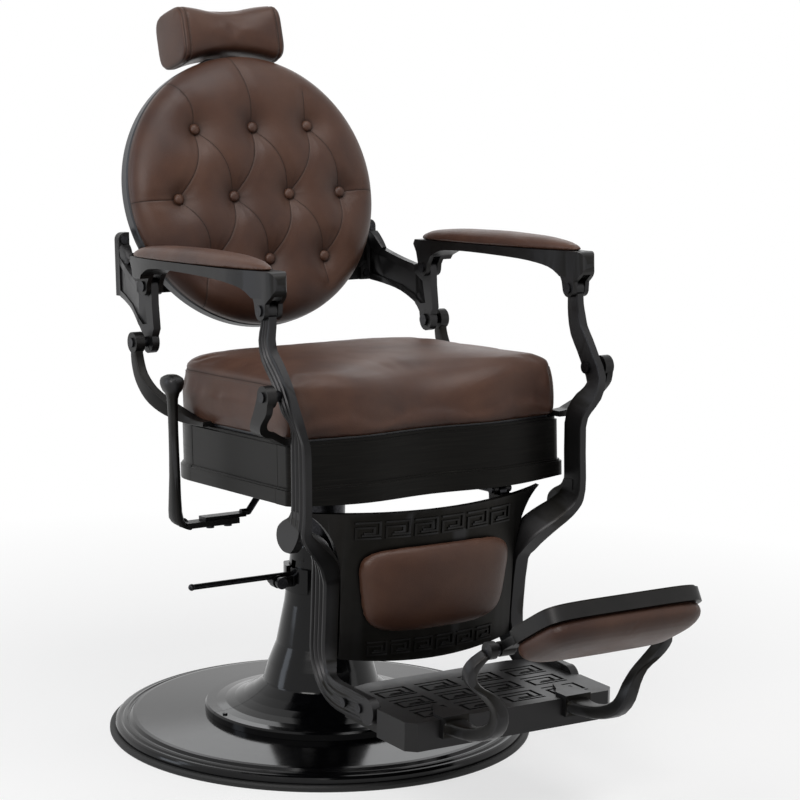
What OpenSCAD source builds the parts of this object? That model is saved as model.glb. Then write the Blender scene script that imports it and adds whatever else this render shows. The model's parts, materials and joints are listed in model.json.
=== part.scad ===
// Hydraulic barber chair: pump base, swivelling seat, parallel-link recline,
// hanging leg frame with a flip-over footrest, tufted round back and headrest.
// Origin: centre of the base's underside. The sitter faces -Y and +Z is up.
// Everything above the ram leans back by seat_rake. Those pieces are drawn in
// the seat's own level frame and then set in place by seated().

/* [Base] */
// Radius of the rubber ring round the base
base_r = 355; // [300:1:400]
// Width of the rubber ring
ring_w = 8; // [6:0.5:12]
// Height of the rubber ring
ring_h = 10; // [8:0.5:14]
// Thickness of the steel base plate
plate_t = 6; // [5:0.5:10]
// Height of the spun cover where it meets the skirt
cover_h = 33; // [28:1:40]
// Wall of the spun covers
cover_wall = 2.5; // [2:0.1:4]
// Radius of the split skirt's flange
skirt_r = 195; // [180:1:210]
// Height of the skirt's upright edge
skirt_edge = 13; // [10:0.5:16]
// Gap at the two seams of the skirt
seam_gap = 0.8; // [0.4:0.1:1.5]
// Angle of the seams seen from above
seam_angle = 174; // [160:1:180]

/* [Column] */
// Radius of the ram
ram_r = 39; // [36:0.5:42]
// Running clearance of the ram in its guide
ram_fit = 0.05; // [0.02:0.01:0.09]
// Wall of the pump cylinder
pump_wall = 5; // [4:0.5:7]
// Height of the top of the gland
gland_top = 338; // [330:1:342]
// Height of the gland ring
gland_h = 16; // [12:1:20]
// Underside of the swivel head above the floor
head_bottom = 402; // [400:1:406]
// Height of the pump lever's pin
lever_z = 262; // [250:1:275]
// Distance of the pump lever's pin from the column's axis
lever_pin_x = 86; // [82:1:92]
// Reach of the pump lever from the column's axis
lever_reach = 250; // [220:1:262]
// Radius of the pump lever's bar
lever_r = 4.8; // [4:0.1:6]

/* [Seat frame] */
// Backward lean of everything above the ram, in degrees
seat_rake = 3.5; // [0:0.5:5]
// Half the width of the seat frame
frame_half = 255; // [245:1:260]
// Front corner of the seat frame, forward of the ram
frame_front = 337; // [325:1:345]
// Back of the seat frame, behind the ram
frame_back = 95; // [85:1:105]
// Radius of the seat frame's rear corners
rear_corner = 100; // [80:1:120]
// Radius of the seat frame's front corners
front_corner = 13; // [8:1:20]
// Depth of the serpentine bulges of the front
bulge = 13; // [0:1:20]
// Height of the rails' lower edge
frame_low = 451; // [450:0.5:453]
// Height of the rails
frame_h = 95; // [85:1:100]
// Height of the ledge that runs round the foot of the rails
ledge_h = 26; // [20:1:32]
// How far the ledge stands out
ledge_out = 5; // [3:0.5:7]
// Wall of the cast rails
rail_wall = 14; // [10:1:18]
// Thickness of the seat board
board_t = 11; // [9:1:15]
// Height of the seat cushion's upper seam above the board
cushion_h = 74; // [60:1:85]
// Crown of the seat cushion above that seam
cushion_crown = 14; // [6:1:20]

/* [Linkage] */
// Front pivot: distance forward of the ram
p1_y = 373; // [368:1:378]
// Front pivot height
p1_z = 626.5; // [622:0.5:631]
// Front arm pivot: distance forward of the ram
p2_y = 336; // [332:1:340]
// Front arm pivot height
p2_z = 751; // [747:0.5:755]
// Rear arm pivot: distance behind the ram
p3_y = 79; // [76:1:82]
// Rear arm pivot height
p3_z = 762; // [759:0.5:765]
// Rear pivot: distance behind the ram
p4_y = 87; // [84:1:90]
// Rear pivot height
p4_z = 671; // [668:0.5:674]
// Radius of the pivot pins
pin_r = 6; // [5:0.1:6.5]
// Running clearance of the pins
pin_fit = 0.05; // [0.02:0.01:0.09]
// Clearance at the rear arm pivot, where the links' travel differs from an arc
open_fit = 1.8; // [1.6:0.1:2.4]
// Clearance between the cheeks of two links
cheek = 0.5; // [0.3:0.1:0.8]
// Middle of the front legs' upper part, from the centre plane
leg_x = 281; // [279:0.5:283]
// Thickness of the legs' upper part
leg_t = 14; // [12:0.5:15]
// Middle of the back brackets' webs, from the centre plane
web_x = 268.5; // [267:0.5:270]
// Thickness of the back brackets' webs
web_t = 13; // [11:0.5:14]

/* [Back and headrest] */
// Lean of the back from the seat's upright, in degrees
back_lean = 13.3; // [8:0.1:18]
// Centre of the round back, behind the ram
back_y = 220; // [215:1:225]
// Centre of the round back, height
back_z = 902; // [895:1:910]
// Radius of the round back
back_r = 234; // [225:1:237]
// Depth of the shell's rim
rim_w = 27; // [22:1:32]
// How far the cushion stands out in front of the shell
back_crown = 52; // [44:1:60]
// Pitch from the middle row of buttons to the upper one
row_pitch_up = 118; // [105:1:120]
// Pitch from the middle row of buttons to the lower one
row_pitch_down = 110; // [100:1:120]
// Pitch of the buttons in a row
button_pitch = 109; // [100:1:112]
// Radius of a button
button_r = 9; // [7:0.5:11]
// Half the width of the headrest
headrest_half = 100; // [88:1:108]
// Height of the headrest at its ends
headrest_h = 112; // [98:1:118]
// Depth of the headrest
headrest_d = 110; // [95:1:115]

/* [Arms] */
// Height of the underside of the arm pads
arm_top = 810; // [805:1:815]
// Half the width of an arm pad at its widest
pad_half = 29; // [25:0.5:32]
// Crown of an arm pad
pad_crown = 23; // [16:1:28]

/* [Leg frame] */
// Half the width of the calf panel's upper edge
panel_top_half = 228; // [220:1:230]
// Half the width of the calf panel's lower edge
panel_low_half = 158; // [150:1:160]
// Height of the calf panel's upper corners
panel_top = 433; // [425:1:437]
// Height of the calf panel's lower corners
panel_low = 199; // [190:1:205]
// Thickness of the calf panel
panel_t = 9; // [7:0.5:12]
// How far the calf panel bows out between the legs
panel_bow = 26; // [18:1:30]
// Height of the key-pattern relief
key_relief = 2.2; // [1.5:0.1:3]
// Height of the tread's upper face
tread_top = 157; // [152:1:160]
// Thickness of the tread
tread_t = 44; // [34:1:50]
// Front of the tread, forward of the ram
tread_front = 560; // [545:1:575]
// Middle of the footrest brackets, from the centre plane
bracket_x = 111; // [105:1:115]
// Footrest pivot: from the centre plane
flip_x = 150; // [147:1:153]
// Footrest pivot: distance forward of the ram
flip_y = 719; // [715:1:723]
// Footrest pivot height
flip_z = 286; // [283:1:289]
// Slope of the raised footrest, in degrees
flip_slope = 27; // [22:1:33]
// Length of the footrest plate from its pivot
flip_len = 154; // [140:1:168]
// Half the width of the footrest plate
flip_half = 137; // [125:1:138]
// Depth of the footrest's tray
tray_d = 24; // [20:1:28]

/* [Hidden] */

black = "#1c1a19";
iron = "#2b2926";
steel = "#8d8f92";
leather = "#4c3127";
rubber = "#141414";
dot = 0.3;                                   // clearance of soft pieces and seams
fine = 64;

// ---------- placing ----------
rake_z = 470;                                // height of the axis that the seat's lean turns about
module seated() translate([0, 0, rake_z]) rotate([-seat_rake, 0, 0]) translate([0, 0, -rake_z]) children();
module left() mirror([1, 0, 0]) children();
module both() { children(); left() children(); }
// A drawing of Y and Z made into a plate from x0, t thick
module plate_x(x0, t) translate([x0, 0, 0]) rotate([90, 0, 90]) linear_extrude(t) children();
module rod_x(x0, x1, r, n = fine) translate([x0, 0, 0]) rotate([0, 90, 0]) cylinder(r = r, h = x1 - x0, $fn = n);
module at(y, z) translate([0, y, z]) children();
// The back's own frame: X across, Z up the disc, Y out through its rear
module backed() seated() translate([0, back_y, back_z]) rotate([-back_lean, 0, 0]) children();

// ---------- curves and skins ----------
function mix(a, b, t) = a + (b - a) * t;
function knot(p, i) = p[max(0, min(len(p) - 1, i))];
function curve_at(a, b, c, d, t) =
  0.5 * (2 * b + (c - a) * t + (2 * a - 5 * b + 4 * c - d) * t * t + (3 * b - 3 * c + d - a) * t * t * t);
// A smooth curve through every row of p, with n steps between two rows
function curve(p, n) = [
  for (i = [0:len(p) - 2]) for (k = [0:n - 1])
    curve_at(knot(p, i - 1), p[i], p[i + 1], knot(p, i + 2), k / n),
  p[len(p) - 1]
];
function unit(v) = v / norm(v);
// Rings along a path of rows [x, y, z, width across X, depth]; section is in halves of both
function swept(path, section) = [
  for (i = [0:len(path) - 1])
    let (
      row = path[i],
      ahead = knot(path, i + 1),
      behind = knot(path, i - 1),
      run = unit([0, ahead[1] - behind[1], ahead[2] - behind[2]]),
      deep = [0, run[2], -run[1]]
    )
    [for (s = section) [row[0], row[1], row[2]] + [s[0] * row[3] / 2, 0, 0] + deep * (s[1] * row[4] / 2)]
];
// Closed skin of triangles over rings of equal length
module skin(rings) {
  n = len(rings[0]);
  m = len(rings);
  middle = function (ring) [for (k = [0:2]) ([for (p = ring) 1] * [for (p = ring) p[k]]) / n];
  points = concat([for (r = rings) each r], [middle(rings[0]), middle(rings[m - 1])]);
  sides = [
    for (i = [0:m - 2]) for (j = [0:n - 1])
      let (a = i * n + j, b = i * n + (j + 1) % n) each [[a, b + n, b], [a, a + n, b + n]]
  ];
  first = [for (j = [0:n - 1]) [m * n, j, (j + 1) % n]];
  last = [for (j = [0:n - 1]) let (e = (m - 1) * n) [m * n + 1, e + (j + 1) % n, e + j]];
  polyhedron(points, concat(sides, first, last), convexity = 6);
}
function round_section(n) = [for (i = [0:n - 1]) [cos(360 * i / n), sin(360 * i / n)]];
// Rounded box section; e squares it up
function squared(n, e) = [
  for (i = [0:n - 1]) let (c = cos(360 * (i + 0.5) / n), s = sin(360 * (i + 0.5) / n))
    [sign(c) * pow(abs(c), e), sign(s) * pow(abs(s), e)]
];
// Cast bar section with three flutes down its outer face (+X)
fluted = [
  [-1, -0.8], [-0.8, -1], [0.72, -1], [1, -0.84], [1, -0.68], [0.7, -0.6], [0.7, -0.4], [1, -0.3],
  [1, -0.2], [0.7, -0.1], [0.7, 0.12], [1, 0.22], [1, 0.32], [0.7, 0.42], [0.7, 0.62], [1, 0.7],
  [1, 0.86], [0.78, 1], [-0.8, 1], [-1, 0.8]
];

// ---------- base ----------
plate_r = base_r - ring_w;
cover_r = plate_r - 1;
dish_r = cover_r - 31;
module base_plate() color(black) cylinder(r = plate_r, h = plate_t, $fn = 180);

module rubber_ring() color(rubber) rotate_extrude($fn = 180) polygon([
  [plate_r, 0], [base_r - 2, 0], [base_r, 2.5], [base_r, ring_h - 3], [base_r - 3, ring_h],
  [plate_r - 5, ring_h], [plate_r - 5, plate_t], [plate_r, plate_t]
]);

// Spun dish: a rounded outer band, two turned grooves, then a slightly domed disc
rim_low = ring_h;
module dish_outline(t) polygon(concat(
  [[cover_r - t, rim_low + 3]],
  [for (a = [10:20:90]) [cover_r - 9 + (9 - t) * cos(a), rim_low + 3 + (9 - t) * sin(a)]],
  [
    [cover_r - 12, rim_low + 11 - t], [cover_r - 15, rim_low + 13 - t], [cover_r - 19, rim_low + 14 - t],
    [cover_r - 21, rim_low + 12.5 - t], [cover_r - 24, rim_low + 13 - t],
    [dish_r + 2, rim_low + 17 - t], [dish_r - 4, rim_low + 18 - t],
    [skirt_r, cover_h - t], [pump_foot_r + 6, cover_h + 2 - t], [pump_foot_r + 6, 0], [cover_r - t, 0]
  ]
));
pump_foot_r = 62;
module base_cover() color(black) rotate_extrude($fn = 180) difference() {
  dish_outline(0);
  dish_outline(cover_wall);
  square([cover_r + 1, rim_low]);
}

// Split skirt: upright edge, domed flange and a neck that holds the column cover
neck_r = 97;
neck_z = 83;
skirt_z = cover_h + dot;
module skirt_outline(t) polygon(concat(
  [[neck_r - t, skirt_z - t], [skirt_r - t, skirt_z - t]],
  [[skirt_r - t, skirt_z + skirt_edge - 3], [skirt_r - 3 - t * 0.6, skirt_z + skirt_edge - t]],
  [for (k = [1:6]) let (u = k / 6) [
    mix(skirt_r - 3, neck_r + 1, u) - t * u,
    skirt_z + skirt_edge - t + (neck_z - skirt_z - skirt_edge) * pow(u, 2.2)
  ]],
  [[neck_r - t, neck_z + 2]]
));
screw_place = skirt_r - 12;
screw_turn = 6;
module skirt_half(turn) rotate([0, 0, turn]) difference() {
  intersection() {
    rotate_extrude($fn = 180) difference() {
      skirt_outline(0);
      translate([0, -0.01]) skirt_outline(cover_wall);
    }
    translate([-skirt_r - 5, seam_gap / 2, 0]) cube([2 * skirt_r + 10, skirt_r + 10, neck_z + 20]);
  }
  rotate([0, 0, screw_turn]) translate([screw_place, 0, skirt_z]) cylinder(r = 2, h = 30, $fn = 24);
}
module skirt_rear() color(black) skirt_half(seam_angle - 180);
module skirt_front() color(black) skirt_half(seam_angle);
module skirt_screws() color(steel) for (turn = [seam_angle - 180, seam_angle])
  rotate([0, 0, turn + screw_turn]) translate([screw_place, 0, skirt_z + skirt_edge + 0.65]) {
    cylinder(r = 4, h = 2.2, $fn = 24);
    translate([0, 0, -8]) cylinder(r = 1.95, h = 9, $fn = 24);
  }

// ---------- column ----------
foot_z = plate_t;
bore_r = ram_r + ram_fit;
pump_r = ram_r + pump_wall;
module pump_cylinder() color(black) difference() {
  rotate_extrude($fn = 96) polygon([
    [0, foot_z], [pump_foot_r, foot_z], [pump_foot_r, foot_z + 10], [pump_r + 6, foot_z + 14],
    [pump_r, foot_z + 24], [pump_r, gland_top - gland_h], [0, gland_top - gland_h]
  ]);
  translate([0, 0, foot_z + 8]) cylinder(r = bore_r, h = gland_top, $fn = 96);
}
cone_top = gland_top - gland_h;
cone_top_r = 52;
module cone_outline(t) polygon([
  [cone_top_r - t, 0], [neck_r - t, 0], [neck_r - t, neck_z + 2.2], [95.5 - t, neck_z + 8], [88.6 - t, 115],
  [81 - t, 135], [75.5 - t, 149], [69 - t, 184], [62.4 - t, 219], [57.6 - t, 262], [53.5 - t, 295],
  [cone_top_r - t, cone_top - 4], [cone_top_r - 2 - t, cone_top], [0, cone_top], [0, 0]
]);
module column_cover() color(black) difference() {
  rotate_extrude($fn = 96) difference() {
    cone_outline(0);
    cone_outline(cover_wall);
    square([neck_r + 5, neck_z + 2.2]);
  }
  cylinder(r = pump_r + dot, h = gland_top, $fn = 96);
  lever_slot();
}
// Window in the cover and in the clevis for the lever's inner end
module lever_slot() translate([-80, -lever_r - 2, lever_z - 8]) cube([60, 2 * lever_r + 4, 40]);
module gland_ring() color(iron) rotate_extrude($fn = 96) polygon([
  [bore_r, cone_top], [cone_top_r - 2, cone_top], [cone_top_r - 2, gland_top - 4],
  [cone_top_r - 5, gland_top], [bore_r, gland_top]
]);
spigot_r = 30;
ram_low = 78;
module ram() color(steel) difference() {
  union() {
    translate([0, 0, ram_low]) cylinder(r = ram_r, h = head_bottom - ram_low - dot, $fn = 96);
    translate([0, 0, ram_low]) cylinder(r = spigot_r, h = head_bottom + 30 - ram_low, $fn = 96);
  }
  translate([0, 0, ram_low - 1]) cylinder(r = spigot_r - 6, h = head_bottom - ram_low - 10, $fn = 64);
}

// Pump lever: clevis clamped to the column, bar with an eye, and its pin
yoke_half = 15;
eye_half = 7;
module turned_y(x, z) translate([x, 0, z]) rotate([90, 0, 0]) children();
module lever_yoke() color(black) difference() {
  union() {
    intersection() {
      translate([0, 0, lever_z - 22]) difference() {
        cylinder(r = 64, h = 44, $fn = 96);
        translate([0, 0, -1]) cylinder(r1 = 60.5, r2 = 55.2, h = 46, $fn = 96);
      }
      translate([-80, -40, lever_z - 20]) cube([60, 80, 60]);
    }
    for (s = [-1, 1]) translate([-lever_pin_x, s > 0 ? eye_half + 0.2 : -yoke_half, lever_z - 9])
      cube([lever_pin_x - 60, yoke_half - eye_half - 0.2, 18]);
    for (s = [-1, 1]) translate([0, s > 0 ? yoke_half : -eye_half - 0.2, 0]) turned_y(-lever_pin_x, lever_z)
      cylinder(r = 9, h = yoke_half - eye_half - 0.2, $fn = 48);
  }
  translate([0, 30, 0]) turned_y(-lever_pin_x, lever_z) cylinder(r = 5, h = 60, $fn = 48);
  lever_slot();
}
module pump_lever() color(iron) difference() {
  union() {
    translate([0, eye_half, 0]) turned_y(-lever_pin_x, lever_z) cylinder(r = 11, h = 2 * eye_half, $fn = 48);
    translate([0, 0, lever_z + lever_r + 4]) {
      rod_x(-lever_reach + 5, -55, lever_r, 32);
      translate([-lever_reach + 5, 0, 0]) sphere(r = lever_r + 0.9, $fn = 32);
    }
  }
  translate([0, 30, 0]) turned_y(-lever_pin_x, lever_z) cylinder(r = 5 + pin_fit, h = 60, $fn = 48);
}
module lever_pin() color(steel) {
  translate([0, yoke_half + 1, 0]) turned_y(-lever_pin_x, lever_z) cylinder(r = 5 - pin_fit, h = 2 * yoke_half + 2, $fn = 48);
  translate([0, -yoke_half, 0]) turned_y(-lever_pin_x, lever_z) cylinder(r = 10, h = 5, $fn = 48);
  translate([0, yoke_half + 4, 0]) turned_y(-lever_pin_x, lever_z) cylinder(r = 8, h = 4, $fn = 48);
}

// ---------- seat frame ----------
frame_top = frame_low + frame_h;
function front_y(x) = -frame_front - bulge * pow(sin(180 * min(1, abs(x) / (frame_half - front_corner))), 2);
// Plan of the frame, drawn in by inset; the rear corners and the serpentine follow it
function plan(inset) = let (
    half = frame_half - inset,
    rear = frame_back - inset,
    r = rear_corner - inset,
    f = front_corner,
    lead = -frame_front + inset
  ) concat(
    [for (k = [-10:10]) let (x = k * (half - f) / 10) [x, front_y(x * (frame_half - f) / (half)) + inset]],
    [for (a = [15:15:90]) [half - f + f * sin(a), lead + f - f * cos(a)]],
    [for (a = [0:10:90]) [half - r + r * cos(a), rear - r + r * sin(a)]],
    [for (a = [90:10:180]) [-half + r + r * cos(a), rear - r + r * sin(a)]],
    [for (a = [90:-15:15]) [-half + f - f * sin(a), lead + f - f * cos(a)]]
  );
module band(inset, z, h) translate([0, 0, z]) linear_extrude(h) polygon(plan(inset));
front_cut = -frame_front + 42;
rear_cut = frame_back - rear_corner - 10;
module frame_ring() difference() {
  union() {
    band(0, frame_low, ledge_h - 3);
    band(ledge_out / 2, frame_low, ledge_h);
    band(ledge_out, frame_low, frame_h - 5);
    band(ledge_out + 2.5, frame_low, frame_h);
  }
  band(ledge_out + rail_wall, frame_low - 1, frame_h + 2);
}
module frame_part(y0, y1, x0, x1) intersection() {
  frame_ring();
  translate([x0, y0, frame_low - 2]) cube([x1 - x0, y1 - y0, frame_h + 4]);
}
wide = frame_half + 5;
// The front's lower edge bellies down between the legs
belly = 5.5;
belly_half = frame_half - front_corner;
module front_rail() color(iron) seated() {
  frame_part(-frame_front - 30, front_cut, -wide, wide);
  intersection() {
    difference() {
      band(0, frame_low - belly, belly + 1);
      band(ledge_out + rail_wall, frame_low - belly - 1, belly + 3);
    }
    face_y(-frame_front - 30, 60) polygon(concat(
      [for (k = [-12:12]) [k / 12 * belly_half, frame_low - belly * (1 - pow(k / 12, 4))]],
      [[belly_half, frame_low + 1], [-belly_half, frame_low + 1]]
    ));
  }
}
module side_rail_right() color(iron) seated() frame_part(front_cut, rear_cut, 0, wide);
module side_rail_left() color(iron) seated() frame_part(front_cut, rear_cut, -wide, 0);
module rear_rail() color(iron) seated() frame_part(rear_cut, frame_back + 5, -wide, wide);
module seat_board() color(black) seated() band(ledge_out + 9, frame_top, board_t);

// The swivel head stands upright on the ram; its top face is cut at the seat's lean
head_r = 58;
bracket_z = frame_low + 2;
module swivel_head() color(black) difference() {
  union() {
    translate([0, 0, head_bottom]) cylinder(r = head_r, h = 70, $fn = 96);
    translate([0, 0, head_bottom]) cylinder(r = head_r + 8, h = 12, $fn = 96);
  }
  translate([0, 0, head_bottom - 1]) cylinder(r = spigot_r + ram_fit, h = 33, $fn = 96);
  seated() translate([-100, -100, bracket_z]) cube([200, 200, 60]);
}
cross_h = 34;
cross_y = [-150, 40];
module cross_bracket() color(black) seated() {
  intersection() {
    for (y = cross_y) translate([-frame_half, y - 20, bracket_z]) cube([2 * frame_half, 40, cross_h]);
    band(ledge_out + rail_wall + 0.1, bracket_z - 1, cross_h + 2);
  }
  translate([-122, cross_y[0], bracket_z]) cube([244, cross_y[1] - cross_y[0], 12]);
}

// Cushion: drawn-in sides, a piped upper seam and a crowned top
seat_seam = frame_top + board_t + cushion_h;
function seat_ring(inset, z, k) = [for (p = plan(inset)) [p[0] * k, mix(-125, p[1], k), z]];
module seat_cushion() color(leather) seated() {
  base = frame_top + board_t + dot;
  skin([
    seat_ring(14, base, 1), seat_ring(5, base + 6, 1), seat_ring(3, base + 20, 1),
    seat_ring(5, base + cushion_h * 0.55, 1), seat_ring(6, seat_seam - 12, 1), seat_ring(5.5, seat_seam - 4, 1),
    seat_ring(9, seat_seam + 3, 1), seat_ring(16, seat_seam + 7, 1),
    seat_ring(16, seat_seam + cushion_crown * 0.72, 0.88), seat_ring(16, seat_seam + cushion_crown * 0.9, 0.66),
    seat_ring(16, seat_seam + cushion_crown, 0.35)
  ]);
}

// Pivot arms: broad curved straps that rise off the rails' top edges to round bosses
boss_t = 16;
front_boss = leg_x + leg_t / 2 + 12;
rear_boss = web_x + web_t / 2 + 11;
boss_r = 17;
strap = squared(12, 0.35);
strap_t = 11;
tongue_z = frame_top + dot / 3;
tongue_in = frame_half - ledge_out - 8;
module bossed(x0, y, z) difference() {
  union() {
    children();
    at(y, z) rod_x(x0, x0 + boss_t, boss_r);
  }
  at(y, z) rod_x(x0 - 5, x0 + boss_t + 5, pin_r);
  translate([tongue_in - 5, -frame_front - 60, tongue_z - 40]) cube([100, 500, 40]);
}
// Front strap: a band bent over the rail, seen along Y, and its taper, seen along X
bend_z = 590;
bend_x = front_boss + boss_t - 31;
module front_bend() polygon(concat(
  [[tongue_in, tongue_z], [bend_x - 23, tongue_z]],
  [for (a = [-90:15:0]) [bend_x + 31 * cos(a), bend_z + 31 * sin(a)]],
  [[front_boss + boss_t, p1_z], [front_boss + boss_t - strap_t, p1_z]],
  [for (a = [0:-15:-90]) [bend_x + (31 - strap_t) * cos(a), bend_z + (31 - strap_t) * sin(a)]],
  [[bend_x - 24, tongue_z + strap_t], [tongue_in, tongue_z + strap_t - 2]]
));
module front_taper() polygon(concat(
  curve([[-p1_y + 16, p1_z + 2], [-p1_y + 27, p1_z - 21], [-p1_y + 41, p1_z - 42], [-p1_y + 55, p1_z - 60],
    [-p1_y + 62, tongue_z]], 3),
  curve([[-p1_y + 31, tongue_z], [-p1_y + 28, p1_z - 63], [-p1_y + 8, p1_z - 42], [-p1_y - 10, p1_z - 24],
    [-p1_y - 16, p1_z + 2]], 3)
));
module front_pivot_arms() color(black) seated() both() bossed(front_boss, -p1_y, p1_z) intersection() {
  face_y(-p1_y - 30, 100) front_bend();
  plate_x(tongue_in - 1, 90) front_taper();
}
rear_mid = rear_boss + boss_t / 2;
rear_foot = tongue_in + 10;
rear_arm_path = [
  [rear_mid, p4_y, p4_z - 6, boss_t - 2, 20], [rear_mid, p4_y - 3, p4_z - 30, boss_t, 22],
  [rear_mid, p4_y - 16, p4_z - 56, boss_t, 25], [rear_mid - 4, p4_y - 40, p4_z - 80, 17, 28],
  [rear_mid - 15, p4_y - 66, p4_z - 98, 19, 27], [rear_foot + 12, p4_y - 92, p4_z - 112, 21, 20],
  [rear_foot + 3, p4_y - 115, frame_top + 6, 21, 13], [rear_foot, p4_y - 139, frame_top + 3.8, 20, 9],
  [rear_foot, p4_y - 163, frame_top + 3.6, 20, 9]
];
module rear_pivot_arms() color(black) seated() both() bossed(rear_boss, p4_y, p4_z)
  skin(swept(curve(rear_arm_path, 3), strap));
// A shouldered pin: shank, spacer between boss and link, and a round head on the link's far side
module pivot_pin(x_in, x_out, gap0, gap1) {
  rod_x(x_in - 1, x_out + 2, pin_r - pin_fit);
  rod_x(gap0 + 0.2, gap1 - 0.05, pin_r + 2.5);
  rod_x(x_in - 4.5, x_in - 0.2, pin_r + 4);
  rod_x(x_out + 0.1, x_out + 3, pin_r + 2);
}
module seat_pivot_pins() color(iron) seated() both() {
  at(-p1_y, p1_z) pivot_pin(leg_x - leg_t / 2, front_boss + boss_t, leg_x + leg_t / 2, front_boss);
  at(p4_y, p4_z) pivot_pin(web_x - web_t / 2, rear_boss + boss_t, web_x + web_t / 2, rear_boss);
}

// Recline lever: club handle, and the crank that carries it under the frame
handle_x = 302;
handle_y = -52;
crank_z = frame_low - 12;
foot_level = 388;
handle_path = [
  [handle_x - 22, handle_y + 6, foot_level, 12, 30], [handle_x - 6, handle_y + 4, foot_level + 5, 20, 32],
  [handle_x, handle_y + 2, foot_level + 24, 17, 30], [handle_x, handle_y, foot_level + 80, 14, 24],
  [handle_x, handle_y, foot_level + 150, 13, 20], [handle_x, handle_y, foot_level + 205, 15, 22],
  [handle_x, handle_y, foot_level + 217, 26, 34], [handle_x, handle_y, foot_level + 228, 33, 44],
  [handle_x, handle_y, foot_level + 238, 30, 40], [handle_x, handle_y, foot_level + 243, 14, 18]
];
// The handle's foot runs in under the seat and is bolted to the flat end of the crank
foot_in = 192;
foot_bolts = [206, 238];
foot_h = 9;
module recline_lever() color(iron) seated() left() difference() {
  union() {
    skin(swept(curve(handle_path, 2), squared(14, 0.75)));
    translate([foot_in, handle_y - 9, foot_level - 6]) cube([handle_x - 16 - foot_in, 30, foot_h]);
  }
  for (x = foot_bolts) translate([x, handle_y + 6, foot_level - 10]) cylinder(r = 4, h = 20, $fn = 32);
}
crank_r = 5.5;
crank_y = handle_y + 6;
crank_low = foot_level + foot_h - 6 + 0.1 + crank_r;
crank_x = [92, 134, 168, 182];
module recline_crank() color(steel) seated() left() difference() {
  union() {
    translate([178, crank_y - 12, foot_level + foot_h - 6 + 0.1]) cube([74, 24, 6]);
    at(crank_y, crank_low) rod_x(crank_x[2], crank_x[3], crank_r, 32);
    translate([crank_x[2], crank_y, crank_low]) sphere(r = crank_r, $fn = 32);
    translate([crank_x[1], crank_y, crank_z])
      rotate([0, 90 + atan2(crank_z - crank_low, crank_x[2] - crank_x[1]), 0])
      cylinder(r = crank_r, h = norm([crank_x[2] - crank_x[1], crank_z - crank_low]), $fn = 32);
    translate([crank_x[1], crank_y, crank_z]) sphere(r = crank_r, $fn = 32);
    at(crank_y, crank_z) rod_x(crank_x[0], crank_x[1], crank_r, 32);
  }
  for (x = foot_bolts) translate([x, crank_y, foot_level]) cylinder(r = 4, h = 20, $fn = 32);
}
module lever_bolts() color(iron) seated() left() for (x = foot_bolts) translate([x, crank_y, foot_level - 6]) {
  translate([0, 0, -4.6]) cylinder(r = 6.5, h = 4.5, $fn = 32);
  translate([0, 0, -2]) cylinder(r = 4 - pin_fit, h = foot_h + 8, $fn = 32);
}
module lever_bearing() color(black) seated() left() difference() {
  translate([98, crank_y - 12, crank_z - 11]) cube([20, 24, bracket_z - crank_z + 11 - 0.1]);
  at(crank_y, crank_z) rod_x(90, 130, crank_r + pin_fit, 32);
}

// ---------- leg frame ----------
foot_x = 183;
foot_t2 = 14;
leg_path = [
  [leg_x, -p2_y, p2_z - 8, leg_t, 27], [leg_x + 0.5, -p2_y + 1, p2_z - 24, leg_t, 29],
  [leg_x + 3, -p2_y + 2, p2_z - 44, 15, 32], [leg_x + 3, -p2_y - 4, p2_z - 68, 15, 34],
  [leg_x + 1.2, -p1_y + 15, p1_z + 34, 14.6, 35], [leg_x - 0.4, -p1_y - 3, p1_z + 8, leg_t - 0.6, 37],
  [leg_x - 1, -p1_y - 18, p1_z - 19, leg_t, 38], [leg_x - 11, -p1_y - 17, p1_z - 42, 15, 40],
  [leg_x - 23, -p1_y - 7, p1_z - 61, 14, 42], [252, -p1_y + 2, 535, 14, 44], [252, -p1_y + 4, 452, 14, 45],
  [251.5, -365, 430, 15, 46], [247, -360, 415, 21, 46], [231, -354, 400, 32, 46], [211, -345, 385, 37, 46],
  [194, -333, 368, 37, 46], [182, -318, 348, 33, 46], [176, -305, 325, 29, 46],
  [174, -294, 255, 28, 45], [174, -290, 216, 28, 46], [176, -296, 190, 24, 46], [180, -312, 168, 18, 44],
  [foot_x, -338, 156, foot_t2, 44], [foot_x, -375, 151, foot_t2, 45], [foot_x, -440, 147, foot_t2, 42]
];
// Scroll at the knee: a lobe that the flutes' face runs out into behind the leg
module scroll() polygon(concat(
  curve([[-349, 448], [-340, 437], [-322, 429], [-306, 418], [-301, 404], [-306, 391], [-321, 382], [-341, 381]], 3),
  curve([[-352, 389], [-362, 401], [-370, 416], [-372, 448]], 3)
));
leg_screws = [-376, -421];
leg_screw_z = 148;
module leg() difference() {
  union() {
    skin(swept(curve(leg_path, 2), fluted));
    plate_x(244, 14.5) scroll();
    at(-p2_y, p2_z) rod_x(leg_x - leg_t / 2, leg_x + leg_t / 2, 14);
    at(-440, 147) rod_x(foot_x - foot_t2 / 2, foot_x + foot_t2 / 2, 21);
  }
  at(-p1_y, p1_z) rod_x(leg_x - leg_t, leg_x + leg_t, pin_r);
  at(-p2_y, p2_z) rod_x(leg_x - leg_t, leg_x + leg_t, pin_r);
  for (y = leg_screws) at(y, leg_screw_z) rod_x(foot_x - 10, foot_x + 10, 4);
}
module leg_right() color(iron) seated() leg();
module leg_left() color(iron) seated() left() leg();

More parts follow.
